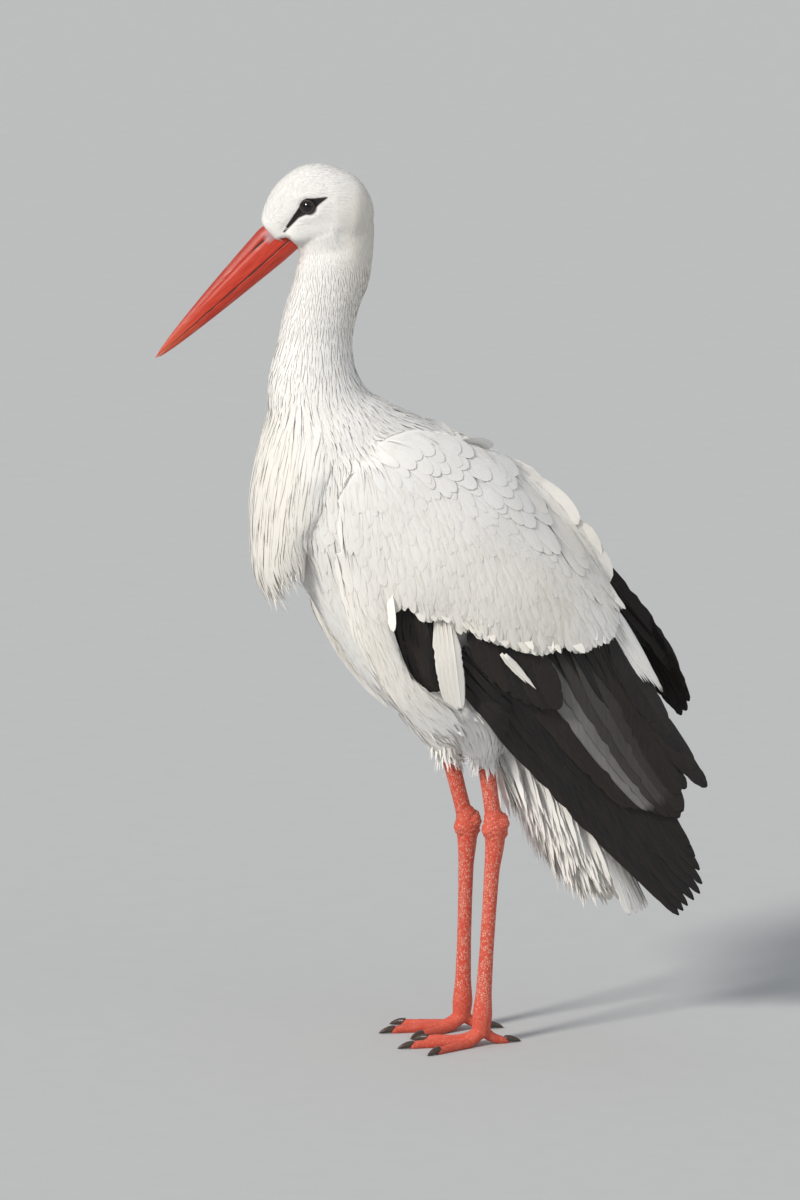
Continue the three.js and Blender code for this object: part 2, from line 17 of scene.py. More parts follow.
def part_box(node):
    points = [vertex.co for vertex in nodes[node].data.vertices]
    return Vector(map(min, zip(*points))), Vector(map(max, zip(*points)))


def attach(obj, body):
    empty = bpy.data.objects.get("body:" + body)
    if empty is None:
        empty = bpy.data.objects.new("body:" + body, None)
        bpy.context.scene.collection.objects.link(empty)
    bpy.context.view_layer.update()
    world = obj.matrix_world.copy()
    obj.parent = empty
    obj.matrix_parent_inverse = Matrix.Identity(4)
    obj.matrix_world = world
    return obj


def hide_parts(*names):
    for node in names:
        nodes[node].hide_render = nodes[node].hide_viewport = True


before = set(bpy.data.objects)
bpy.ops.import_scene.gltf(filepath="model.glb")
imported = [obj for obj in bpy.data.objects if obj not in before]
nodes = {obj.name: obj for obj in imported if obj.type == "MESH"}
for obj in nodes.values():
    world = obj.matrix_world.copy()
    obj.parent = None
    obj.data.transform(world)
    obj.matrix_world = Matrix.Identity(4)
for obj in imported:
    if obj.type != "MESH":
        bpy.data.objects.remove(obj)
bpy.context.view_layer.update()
rng = np.random.default_rng(11)

# ---- driving dimensions, in millimetres

MM = 0.001
LEFT, RIGHT = -1, 1
SIDES = {"left": LEFT, "right": RIGHT}
AXIS_X, AXIS_Y, AXIS_Z = np.eye(3)
HEAD_TURN = math.radians(14)
NECK_AXIS_X = -131.0
EYE_FORWARD, EYE_UP, EYE_SIDE, EYE_RADIUS = 35.0, 853.0, 22.5, 9.0
BILL_LENGTH = 161.0
BILL_PITCH = math.radians(42)
BILL_COS, BILL_SIN = math.cos(BILL_PITCH), math.sin(BILL_PITCH)
BILL_BASE = (68.0, 805.0)
BILL_HALF_WIDTH = 11.6
HEAD_COS, HEAD_SIN = math.cos(HEAD_TURN), math.sin(HEAD_TURN)

CAMERA_TURN, CAMERA_RISE = math.radians(-14), math.radians(10)
CAMERA_DISTANCE = 10.0  # metres
CAMERA_AIM = (-74.0, 0.0, 451.0)
VIEW_HEIGHT = 1.2  # metres of the scene, from the top of the picture to its foot

# ---- places


def in_head(forward, up, side=0.0):
    """Points of the turned head, in the bird's own frame."""
    x = NECK_AXIS_X - forward * HEAD_COS + side * HEAD_SIN
    return np.stack(np.broadcast_arrays(x, forward * HEAD_SIN + side * HEAD_COS, up), -1)


def head_coordinates(points):
    """(forward, up, side) of points, the way in_head() places them."""
    dx, y = points[:, 0] - NECK_AXIS_X, points[:, 1]
    return -dx * HEAD_COS + y * HEAD_SIN, points[:, 2], dx * HEAD_SIN + y * HEAD_COS


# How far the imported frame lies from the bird's own, found from the left eye.
eye_low, eye_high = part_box("eye_left")
SHIFT = in_head(EYE_FORWARD, EYE_UP, -EYE_SIDE) - np.array((eye_low + eye_high) / 2) / MM
SHIFT[2] = 0.0


def to_frame(points):
    return (np.asarray(points, float) - SHIFT) * MM


def ease(low, high, x):
    """A smooth step from 0 at low to 1 at high."""
    t = np.clip((x - low) / (high - low), 0.0, 1.0)
    return t * t * (3 - 2 * t)


def unit(v):
    return v / np.maximum(np.linalg.norm(v, axis=-1, keepdims=True), 1e-9)


def bump(distance, size):
    return np.exp(-((distance / size) ** 2))


def circle(count):
    return np.linspace(0, 2 * math.pi, count, endpoint=False)


def ring(first, second, turn):
    """Places around a ring at the turns, from the first way across it towards the second."""
    return first[..., None, :] * np.cos(turn)[:, None] + second[..., None, :] * np.sin(turn)[:, None]

# ---- meshes


def read(items, key, width=1, kind=np.int32):
    """One property of every item, as an array."""
    values = np.empty(len(items) * width, kind)
    items.foreach_get(key, values)
    return values.reshape(-1, width) if width > 1 else values


def write(items, key, values, kind=np.float32):
    items.foreach_set(key, np.asarray(values).astype(kind).ravel())


def points_of(mesh):
    return read(mesh.vertices, "co", 3, np.float32).astype(float) / MM + SHIFT


def normals_of(mesh):
    return read(mesh.vertices, "normal", 3, np.float32).astype(float)


def move_points(mesh, points):
    """Puts every point of a smooth mesh at its new place."""
    write(mesh.vertices, "co", to_frame(points))
    write(mesh.polygons, "use_smooth", np.ones(len(mesh.polygons)), bool)
    mesh.update()


def mesh_from(name, verts, faces):
    """An object from points in bird millimetres. faces is a list of arrays, each of one polygon size."""
    mesh = bpy.data.meshes.new(name)
    mesh.vertices.add(len(verts))
    sizes = np.concatenate([np.full(len(f), f.shape[1]) for f in faces])
    mesh.loops.add(sizes.sum())
    write(mesh.loops, "vertex_index", np.concatenate([f.ravel() for f in faces]), np.int32)
    mesh.polygons.add(len(sizes))
    write(mesh.polygons, "loop_start", np.append(0, np.cumsum(sizes)[:-1]), np.int32)
    mesh.update(calc_edges=True)
    move_points(mesh, verts)
    piece = bpy.data.objects.new(name, mesh)
    bpy.context.collection.objects.link(piece)
    return piece


def set_points(piece, name, values):
    """A number on each point of the mesh."""
    write(piece.data.attributes.new(name, "FLOAT", "POINT").data, "value", values)


def set_uv(piece, name, uv):
    """A UV map from one (u, v) for each point of the mesh."""
    write(piece.data.uv_layers.new(name=name).data, "uv", uv[read(piece.data.loops, "vertex_index")])


def grid_tube(count, around):
    """Faces of a tube through so many rings, with so many points in each."""
    k, j = np.meshgrid(np.arange(count - 1), np.arange(around), indexing="ij")
    a, b = k * around + j, k * around + (j + 1) % around
    return np.stack([a, b, b + around, a + around], -1).reshape(-1, 4)


def finish_piece(piece, slot, material, *replaced):
    piece.data.materials.append(material)
    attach(piece, "root")
    if replaced:
        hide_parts(*replaced)
    return piece

# ---- smooth bodies of the bird


def curve(points, at, closed=False):
    """Places on a centripetal Catmull-Rom curve through points, at shares 0..1 of the way."""
    points, at = np.asarray(points, float), np.asarray(at, float)
    count = len(points)
    if closed:
        row = np.concatenate([points[-1:], points, points[:2]])
        place = (at % 1.0) * count
    else:
        row = np.concatenate([[2 * points[0] - points[1]], points, [2 * points[-1] - points[-2]]])
        place = np.clip(at, 0, 1) * (count - 1)
    i = np.minimum(place.astype(int), count - (0 if closed else 1) - 1)
    t = (place - i)[..., None]
    p0, p1, p2, p3 = (row[i + k] for k in range(4))
    pairs = ((p0, p1), (p1, p2), (p2, p3))
    d0, d1, d2 = (np.sqrt(np.linalg.norm(b - a, axis=-1, keepdims=True)) + 1e-6 for a, b in pairs)
    m1 = ((p1 - p0) / d0 - (p2 - p0) / (d0 + d1) + (p2 - p1) / d1) * d1
    m2 = ((p2 - p1) / d1 - (p3 - p1) / (d1 + d2) + (p3 - p2) / d2) * d1
    return p1 + m1 * t + (3 * (p2 - p1) - 2 * m1 - m2) * t**2 + (2 * (p1 - p2) + m1 + m2) * t**3


def smooth_value(values, at):
    """Numbers read at shares 0..1 of the way, eased a little between them."""
    values = np.asarray(values, float)
    place = np.clip(at, 0, 1) * (len(values) - 1)
    low = np.minimum(place.astype(int), len(values) - 2)
    t = place - low
    t = 0.4 * ease(0, 1, t) + 0.6 * t
    return values[low] * (1 - t) + values[low + 1] * t


def closed_net(rings):
    """A closed body from rings (along, around, 3), with a point at each end."""
    along, around, _ = rings.shape
    verts = np.concatenate([rings.reshape(-1, 3), rings[0].mean(0)[None], rings[-1].mean(0)[None]])
    j = np.arange(around)
    k = (j + 1) % around
    first = np.stack([k, j, np.full(around, along * around)], -1)
    last = np.stack([j, k, np.full(around, along * around + 1)], -1) + np.array([1, 1, 0]) * (along - 1) * around
    return verts, [grid_tube(along, around), np.concatenate([first, last])]


def loft(rows, side=(0, 1, 0)):
    """A body through stations (over, under, half): where its outline shows from the side, and half its width."""
    at = np.linspace(0.002, 0.998, 90)
    over, under = (curve([row[k] for row in rows], at) for k in (0, 1))
    half = smooth_value([row[2] for row in rows], at)
    turn = circle(64)
    wide = np.asarray(side)[None, None] * (half[:, None] * np.cos(turn))[..., None]
    high = ((over - under) / 2)[:, None] * np.sin(turn)[None, :, None]
    return closed_net(((over + under) / 2)[:, None] + wide + high)


def limb(centres, around=24, along=60):
    """A tube of round sections through centres (x, y, z, radius)."""
    centres = np.asarray(centres, float)
    at = np.linspace(0, 1, along)
    line = curve(centres[:, :3], at)
    ahead = unit(np.gradient(line, axis=0))
    across = unit(AXIS_Y - ahead * ahead[:, 1:2])
    up = np.cross(across, ahead)
    radius = smooth_value(centres[:, 3], at)[:, None, None]
    return closed_net(line[:, None] + radius * ring(across, up, circle(around)))


def wing_reach(x, z):
    """How far from the middle plane the wing lies."""
    dx, dz = x + 10, z - 470
    along = 0.63 * dx - 0.776 * dz
    back = 0.776 * dx + 0.63 * dz
    closing = np.clip((back + 30) / 150, 0, 0.93)
    return smooth_value([78, 88, 96, 97, 90, 80, 69, 60, 54], (along + 200) / 600) * np.sqrt(1 - closing**2)


def on_wing(side, spots, out):
    """Places on a wing from (x, z) spots, standing out from its middle."""
    x, z = spots[..., 0], spots[..., 1]
    return np.stack([x, side * (wing_reach(x, z) + out), z], -1)


def pillow(side, outline, rise, depth, layer):
    """A lens on the wing with a closed outline, thick in the middle and thin at its edge."""
    rim = curve(outline, np.arange(96) / 96, closed=True)
    centre = np.asarray(outline, float).mean(0)
    height = np.cos(np.linspace(0.02, math.pi - 0.02, 40))
    spots = centre + (rim - centre)[None] * np.sqrt(1 - height**2)[:, None, None]
    out = layer + height * np.where(height > 0, rise, depth)
    rings = on_wing(side, spots, out[:, None])
    return closed_net(rings if side == RIGHT else rings[:, ::-1])


def in_middle(x, z):
    return x, 0.0, z


def stations(place, *rows):
    return [(place(*over), place(*under), half) for over, under, half in rows]


HEAD_STATIONS = stations(
    in_head,
    ((69, 823), (67, 821), 1), ((83, 832), (54, 802), 14), ((81, 849), (42, 804), 22),
    ((68, 873), (30, 807), 28), ((42, 892), (15, 810), 31), ((12, 892), (0, 807), 31),
    ((-15, 878), (-7, 804), 27), ((-29, 855), (-17, 814), 17), ((-31, 838), (-28, 832), 2),
)
NECK_STATIONS = stations(
    in_middle,
    ((-122, 850), (-160, 847), 6), ((-101, 836), (-166, 833), 21), ((-100, 820), (-172, 820), 26),
    ((-101, 796), (-181, 793), 29.5), ((-105, 772), (-186, 772), 29.5), ((-115, 748), (-194, 748), 30),
    ((-120, 724), (-199, 727), 32), ((-121, 702), (-204, 706), 36), ((-114, 678), (-210, 680), 42),
    ((-96, 655), (-211, 650), 50), ((-80, 610), (-190, 600), 52), ((-100, 590), (-150, 585), 10),
)
TRUNK_STATIONS = stations(
    in_middle,
    ((-130, 655), (-190, 648), 8), ((-104, 663), (-207, 640), 50), ((-80, 651), (-210, 600), 66),
    ((-48, 635), (-205, 552), 78), ((-12, 614), (-191, 500), 85), ((22, 590), (-165, 452), 88),
    ((50, 560), (-136, 404), 88), ((72, 522), (-103, 360), 85), ((90, 474), (-60, 326), 79),
    ((106, 420), (-18, 307), 70), ((121, 363), (24, 282), 58), ((134, 312), (56, 232), 47),
    ((146, 272), (84, 194), 37), ((150, 238), (104, 171), 27), ((142, 206), (124, 168), 6),
)
LEGS = {
    "left": dict(side=LEFT, knee=(-14, -38, 372), thigh_end=(5, -37, 290), ankle=(15, -36, 222), toes=(1, -38)),
    "right": dict(side=RIGHT, knee=(-36, 36, 366), thigh_end=(-14, 34, 284), ankle=(4, 33, 212), toes=(0, 36)),
}
WING_PADS = [
    dict(
        outline=[
            (-118, 628), (-78, 640), (-34, 628), (16, 606), (62, 574), (102, 530), (128, 482), (116, 476),
            (70, 508), (10, 552), (-50, 590), (-100, 606),
        ],
        rise=10, depth=7, layer=-3,
    ),
    dict(
        outline=[
            (-152, 596), (-95, 612), (-23, 609), (39, 581), (85, 530), (122, 482), (136, 446), (132, 426),
            (102, 415), (52, 417), (2, 427), (-50, 447), (-90, 460), (-122, 485), (-152, 512), (-164, 555),
        ],
        rise=12, depth=3, layer=0,
    ),
    dict(
        outline=[
            (-166, 522), (-140, 510), (-116, 484), (-99, 428), (-82, 388), (-56, 366), (-30, 344), (-50, 322),
            (-88, 342), (-126, 392), (-154, 450),
        ],
        rise=13, depth=10, layer=-2,
    ),
]
BIB_FRONT = [(-203, 668), (-219, 610), (-227, 566), (-229, 518), (-226, 480), (-208, 440)]
BIB_WIDTHS = [44, 60, 68, 64, 54, 42]
BIB_DEPTHS = [40, 54, 62, 62, 54, 44]
BIB_WRAP = math.radians(74)


def on_bib(a, b, out=0.0):
    """The sheet of long plumes over the breast: a goes across it and b down it, both 0..1."""
    front = curve(BIB_FRONT, b)
    turned = (a - 0.5) * 2 * BIB_WRAP
    x = front[..., 0] + 9 + smooth_value(BIB_DEPTHS, b) * (1 - np.cos(turned)) - out * np.cos(turned)
    y = (smooth_value(BIB_WIDTHS, b) + out) * np.sin(turned)
    return np.stack([x, y, front[..., 1] + 80 * (1 - np.cos(turned)) * b], -1)


def bib(end=0.86):
    """The bib as a closed body that stops short of its plumes' ends."""
    a, b = np.meshgrid(np.linspace(0, 1, 60), np.linspace(0, end, 60), indexing="ij")
    thick = 10 * (1 - 0.75 * (2 * a - 1) ** 2) * (1 - 0.55 * (b / end) ** 2)
    front, back = on_bib(a, b, thick), on_bib(a, b, -thick)
    return closed_net(np.concatenate([front, back[:, ::-1]], 1))


def round_body(centre, radius):
    polar = np.linspace(0.05, math.pi - 0.05, 12)[:, None, None]
    rings = ring(AXIS_X, AXIS_Y, circle(20)) * np.sin(polar) - AXIS_Z * np.cos(polar)
    return closed_net(np.asarray(centre, float) + radius * rings)


def thigh(knee, thigh_end, **_):
    knee, end = np.array(knee, float), np.array(thigh_end, float)
    along = [(0, 4), (0.25, 44), (0.6, 33), (0.9, 20), (1.08, 11), (1.1, 2)]
    return limb([(*(knee + (end - knee) * t), r) for t, r in along], around=40, along=40)

# ---- the skin

WING_FLESH = ["scapulars", "coverts", "flank"]
BODY_FLESH = ["head", "neck_upper", "neck_lower", "trunk", "breast_plumes", "leg_left_thigh", "leg_right_thigh"]
FLESH = BODY_FLESH + [f"wing_{side}_{part}" for side in SIDES for part in WING_FLESH]
SKIN_VOXEL = 2.4
BODY_SMOOTHING, WING_SMOOTHING = 14, 20
# For each tract: the coat's depth, then its feathers' length, half width, spacing and lift of the tip.
TRACTS = {
    "head": (1.6, 5.6, 0.62, 1.55, 0.75),
    "neck_upper": (2.2, 13.0, 1.0, 2.3, 0.6),
    "neck_lower": (3.0, 23.0, 1.7, 3.3, 0.8),
    "trunk": (3.6, 40.0, 7.2, 7.0, 0.7),
    "breast_plumes": (4.0, 40.0, 3.2, 5.6, 1.5),
    "thigh": (4.0, 26.0, 2.6, 4.2, 1.6),
    "scapulars": (3.0, 58.0, 11.0, 10.0, 2.4),
    "coverts": (3.0, 50.0, 4.8, 5.8, 1.0),
    "flank": (4.0, 48.0, 3.6, 4.8, 1.3),
}
# The black bare skin around the eye, from the lore back: (forward, up, radius) in the head.
BARE_PATCH = [
    (59.5, 827.0, 0.9), (56, 832.5, 1.7), (47, 844, 3.1), (35, 854.5, 7.6), (26, 859, 3.6), (17, 862.5, 0.8),
]


def tract_of(name):
    return next(tract for tract in TRACTS if tract in name)


def from_segment(forward, up, start, end):
    """Distance from a line in the head's plane, and the share along it."""
    along = np.subtract(end, start)
    t = np.clip(((forward - start[0]) * along[0] + (up - start[1]) * along[1]) / (along @ along), 0, 1)
    return np.hypot(forward - start[0] - t * along[0], up - start[1] - t * along[1]), t


def bareness(points):
    """1 in the black bare skin around each eye, falling to 0 just outside it."""
    forward, up, side = head_coordinates(points)
    reach = np.full(len(points), -9.0)
    for (f0, z0, r0), (f1, z1, r1) in zip(BARE_PATCH, BARE_PATCH[1:]):
        gap, t = from_segment(forward, up, (f0, z0), (f1, z1))
        reach = np.maximum(reach, r0 + t * (r1 - r0) - gap)
    return ease(-0.8, 0.8, reach) * (np.abs(side) > 7)


def neighbour_mean(values, edges, times):
    """Values evened out over the mesh's edges."""
    a, b = edges.T
    flat = values.reshape(len(values), -1)
    count = np.maximum(np.bincount(edges.ravel(), minlength=len(flat)), 1)[:, None]
    for _ in range(times):
        total = [np.bincount(a, c[b], len(flat)) + np.bincount(b, c[a], len(flat)) for c in flat.T]
        flat = 0.5 * flat + 0.5 * np.stack(total, 1) / count
    return flat.reshape(values.shape)


def evened(points, edges, times, share):
    """Points evened out over the mesh's edges, as far as share says."""
    share = share[:, None]
    return points * (1 - share) + neighbour_mean(points, edges, times) * share


def edge_array(mesh):
    return read(mesh.edges, "vertices", 2)


def node_tree(names):
    """A BVH of some CAD nodes in bird millimetres, and each face's node."""
    verts, faces, owner = [], [], []
    for index, name in enumerate(names):
        mesh = nodes[name].data
        faces += [[len(verts) + i for i in polygon.vertices] for polygon in mesh.polygons]
        owner += [index] * len(mesh.polygons)
        verts += points_of(mesh).tolist()
    return BVHTree.FromPolygons(verts, faces), owner


def voxel_union(name, bodies, voxel):
    """One closed mesh around several closed bodies (verts, faces)."""
    starts = np.cumsum([0] + [len(points) for points, _ in bodies])
    faces = [np.concatenate([parts[k] + start for (_, parts), start in zip(bodies, starts)]) for k in (0, 1)]
    piece = mesh_from(name, np.concatenate([points for points, _ in bodies]), faces)
    remesh = piece.modifiers.new("voxels", "REMESH")
    remesh.mode, remesh.voxel_size = "VOXEL", voxel * MM
    made = bpy.data.meshes.new_from_object(piece.evaluated_get(bpy.context.evaluated_depsgraph_get()))
    piece.modifiers.clear()
    piece.data = made
    return piece


def fine_face(mesh):
    """Finer faces around the eyes, so that the bare skin's edge is sharp."""
    bm = bmesh.new()
    bm.from_mesh(mesh)
    eyes = [Vector(to_frame(in_head(EYE_FORWARD + 3, EYE_UP - 3, s * 26))) for s in SIDES.values()]
    near = [e for e in bm.edges if min((e.verts[0].co - eye).length for eye in eyes) < 34 * MM]
    bmesh.ops.subdivide_edges(bm, edges=near, cuts=2, use_grid_fill=True)
    bmesh.ops.triangulate(bm, faces=[f for f in bm.faces if len(f.verts) > 4])
    bm.to_mesh(mesh)
    bm.free()


def on_bill(points):
    """(along, above) of points in the bill's own measures."""
    forward, up, _ = head_coordinates(points)
    df, du = forward - BILL_BASE[0], up - BILL_BASE[1]
    return df * BILL_COS - du * BILL_SIN, df * BILL_SIN + du * BILL_COS


# The forms of each side of the face: a line from one (forward, up) to another, how far it stands out, and its size.
FACE_FORMS = {
    "hollow lore": ((60, 828), (44, 846), -1.8, 5),
    "brow": ((46, 862), (26, 868), 1.3, 5.5),
    "cheek": ((50, 820), (12, 827), 3.2, 8),
}


def sculpt_head(points, normals):
    """The forms of the face: hollow lores, a brow, a full cheek, and feathers that stop behind the gape."""
    forward, up, side = head_coordinates(points)
    sides = ease(6, 14, np.abs(side)) * (up > 790)
    rows = FACE_FORMS.values()
    push = sides * sum(out * bump(from_segment(forward, up, *line)[0], size) for *line, out, size in rows)
    throat, _ = from_segment(forward, up, (46, 803), (2, 809))
    push -= 2.0 * bump(throat, 8) * ease(3, 12, np.abs(side))
    from_eye = np.hypot(forward - EYE_FORWARD, up - EYE_UP)
    push -= sides * 1.9 * (1 - ease(5.5, 12.5, from_eye))
    points = points + normals * push[:, None]
    along, above = on_bill(points)
    back = ease(-26, -6, along) * ease(11, 3, above) * ease(-30, -6, above) * 10
    forward = in_head(BILL_COS, -BILL_SIN) - in_head(0, 0)
    return points - forward[None] * back[:, None]


def make_skin():
    """The skin's piece, and the node of flesh that each of its points belongs to."""
    across = in_head(0, 0, 1) - in_head(0, 0)
    bodies = [loft(HEAD_STATIONS, across), loft(NECK_STATIONS), loft(TRUNK_STATIONS), bib()]
    bodies += [thigh(**leg) for leg in LEGS.values()]
    bodies += [pillow(side, **pad) for pad in WING_PADS for side in SIDES.values()]
    piece = voxel_union("skin", bodies, SKIN_VOXEL)
    mesh = piece.data
    fine_face(mesh)
    edges = edge_array(mesh)
    points = neighbour_mean(points_of(mesh), edges, 3)
    forward, up, _ = head_coordinates(points)
    share = np.clip(ease(842, 806, up) * ease(44, 28, forward) + ease(790, 780, up), 0, 1)
    points = evened(points, edges, BODY_SMOOTHING, share)
    x, y, z = points.T
    share = ease(25, 50, np.abs(y)) * ease(415, 450, z) * ease(-195, -175, x)
    points = evened(points, edges, WING_SMOOTHING, share)
    move_points(mesh, points)
    normals = normals_of(mesh)
    points = sculpt_head(points, normals)
    # down by the coat's depth, but never through the far side of a thin edge
    tree, owner = node_tree(FLESH)
    tract = np.array([owner[tree.find_nearest(Vector(p))[2]] for p in points])
    depth = neighbour_mean(np.array([TRACTS[tract_of(name)][0] for name in FLESH])[tract], edges, 12)
    around = BVHTree.FromPolygons(points.tolist(), [tuple(f.vertices) for f in mesh.polygons])
    for i, (p, n) in enumerate(zip(points, normals)):
        inwards = Vector(-n)
        thickness = around.ray_cast(Vector(p) + inwards * 0.3, inwards, 40.0)[3]
        if thickness is not None:
            depth[i] = min(depth[i], 0.3 * thickness)
    depth = neighbour_mean(depth, edges, 4)
    depth *= 1 - 0.4 * bareness(points)
    points = points - normals * depth[:, None]
    move_points(mesh, points)
    return piece, points, tract


skin, skin_points, skin_tract = make_skin()
bpy.context.view_layer.objects.active = skin
skin.select_set(True)
bpy.ops.object.mode_set(mode="EDIT")
bpy.ops.mesh.select_all(action="SELECT")
bpy.ops.uv.smart_project(angle_limit=math.radians(66), island_margin=0.002)
bpy.ops.object.mode_set(mode="OBJECT")
skin.data.uv_layers[0].name = "OFBake"


class Surface:
    """The skin as triangles: for roots, nearest places and the unwrap."""

    def __init__(self, mesh):
        mesh.calc_loop_triangles()
        self.corners = read(mesh.loop_triangles, "vertices", 3)
        self.points = points_of(mesh)
        self.normals = unit(neighbour_mean(normals_of(mesh), edge_array(mesh), 6))
        uv = read(mesh.uv_layers["OFBake"].data, "uv", 2, np.float32)
        self.uv = uv[read(mesh.loop_triangles, "loops", 3)]
        a, b, c = (self.points[self.corners[:, i]] for i in range(3))
        self.area = np.linalg.norm(np.cross(b - a, c - a), axis=1) / 2
        self.tree = BVHTree.FromPolygons(self.points.tolist(), self.corners.tolist())

    def mean(self, values):
        """Values at the points, as each triangle's mean."""
        return values[self.corners].mean(1)

    def sample(self, density):
        """Random roots, with density in each square millimetre for each triangle."""
        share = self.area * density
        count = int(share.sum())
        pick = rng.choice(len(share), count, p=share / share.sum())
        u, v = rng.random(count), rng.random(count)
        flip = u + v > 1
        u[flip], v[flip] = 1 - u[flip], 1 - v[flip]
        weights = np.stack([1 - u - v, u, v], 1)
        places = np.einsum("ij,ijk->ik", weights, self.points[self.corners[pick]])
        uv = np.einsum("ij,ijk->ik", weights, self.uv[pick])
        return places, uv, pick

    def nearest(self, places):
        found = [self.tree.find_nearest(Vector(p)) for p in places]
        corners = self.corners[[f[2] for f in found]]
        return np.array([f[0] for f in found]), unit(self.normals[corners].mean(1))


surface = Surface(skin.data)

# ---- the lie of the coat

# Where feathers point: a place on the left side, and the way they lie there. The right side mirrors it.
LIE = np.array([
    # head
    (-170, 0, 892, 1, 0, -0.1), (-200, 8, 866, 0.8, 0.1, 0.6), (-195, 22, 842, 0.9, 0.25, 0.1),
    (-165, 30, 852, 0.9, 0.1, -0.3), (-150, 28, 825, 0.5, 0, -0.9), (-105, 0, 862, 0.3, 0, -1),
    (-190, 5, 812, 0.8, 0.2, -0.4), (-172, 10, 800, 0.15, 0.05, -1),
    # neck
    (-185, 0, 760, -0.08, 0, -1), (-150, 30, 760, 0, 0, -1), (-115, 0, 760, -0.05, 0, -1),
    (-197, 0, 710, -0.2, 0, -1), (-160, 34, 700, 0, 0.1, -1), (-123, 0, 715, 0.1, 0, -1),
    (-105, 12, 668, 0.6, 0.15, -0.8), (-130, 50, 640, 0.35, 0.3, -0.9),
    # breast and belly
    (-215, 0, 620, -0.12, 0, -1), (-226, 10, 540, 0, 0, -1), (-195, 55, 560, 0.05, 0.1, -1),
    (-170, 70, 500, 0.25, 0.1, -1), (-170, 20, 450, 0.55, 0, -0.9), (-110, 10, 365, 0.75, 0, -0.62),
    (-20, 10, 302, 0.95, 0, -0.35), (-120, 85, 440, 0.45, 0, -0.9), (-60, 85, 350, 0.7, 0, -0.7),
    (60, 10, 235, 0.6, 0, -0.85), (115, 15, 180, 0.55, 0, -0.85), (0, 40, 305, 0.1, 0, -1),
    # back
    (-60, 10, 641, 0.86, 0.05, -0.45), (20, 10, 590, 0.78, 0.02, -0.62), (80, 10, 500, 0.5, 0, -0.87),
    (120, 10, 370, 0.3, 0, -0.95), (148, 10, 250, 0.35, 0, -0.95),
    # wing
    (-90, 62, 628, 0.8, 0.15, -0.5), (-20, 70, 610, 0.82, 0.08, -0.55), (60, 60, 555, 0.72, 0, -0.7),
    (112, 55, 495, 0.5, 0, -0.87), (-155, 85, 565, 0.1, 0.1, -1), (-120, 95, 500, 0.2, 0, -1),
    (-70, 98, 560, 0.35, 0, -0.95), (-40, 100, 480, 0.2, 0, -1), (-20, 95, 420, 0.15, 0, -1),
    (30, 95, 540, 0.5, 0, -0.87), (40, 95, 440, 0.25, 0, -0.97), (90, 85, 480, 0.45, 0, -0.88),
    (125, 80, 410, 0.42, 0, -0.9),
], float)


def lie(points):
    """The way the coat lies at points anywhere near the skin."""
    side = np.where(points[:, 1] < 0, -1.0, 1.0)
    folded = points * np.stack([np.ones(len(points)), side, np.ones(len(points))], 1)
    gap = ((folded[:, None] - LIE[None, :, :3]) ** 2).sum(-1)
    weight = 1 / (gap + 60.0) ** 2
    way = (weight[..., None] * unit(LIE[None, :, 3:])).sum(1)
    way[:, 1] *= side
    return unit(way)


def march(roots, lengths, steps, sway=0.0):
    """Centre lines that follow the skin along its lie from each root. Past an edge they run on straight."""
    place, normal = surface.nearest(roots)
    way = lie(place)
    angle = rng.normal(0, 1, len(roots)) * sway
    free = np.zeros(len(roots), bool)
    places, normals = [place], [normal]
    step = lengths[:, None] / steps
    for _ in range(steps):
        wanted = lie(place)
        turned = wanted * np.cos(angle)[:, None] + np.cross(normal, wanted) * np.sin(angle)[:, None]
        way = np.where(free[:, None], way, unit(0.35 * way + 0.65 * turned))
        way = unit(way - normal * (way * normal).sum(1, keepdims=True))
        ahead = place + way * step
        found, found_normal = surface.nearest(ahead)
        above = ((ahead - found) * found_normal).sum(1)
        free |= (above > 0.35 * step[:, 0]) | ((found_normal * normal).sum(1) < 0.2)
        place = np.where(free[:, None], ahead, found)
        normal = np.where(free[:, None], normal, unit(0.5 * normal + 0.5 * found_normal))
        places.append(place)
        normals.append(normal)
    return np.stack(places, 1), np.stack(normals, 1)

# ---- vanes and tufts


def resampled(rows, at):
    """Rows (count, steps, 3) read at shares of the way along, the same for every row or its own for each."""
    place = np.broadcast_to(at, (len(rows), np.shape(at)[-1])) * (rows.shape[1] - 1)
    low = np.minimum(place.astype(int), rows.shape[1] - 2)
    t = (place - low)[..., None]
    row = np.arange(len(rows))[:, None]
    return rows[row, low] * (1 - t) + rows[row, low + 1] * t


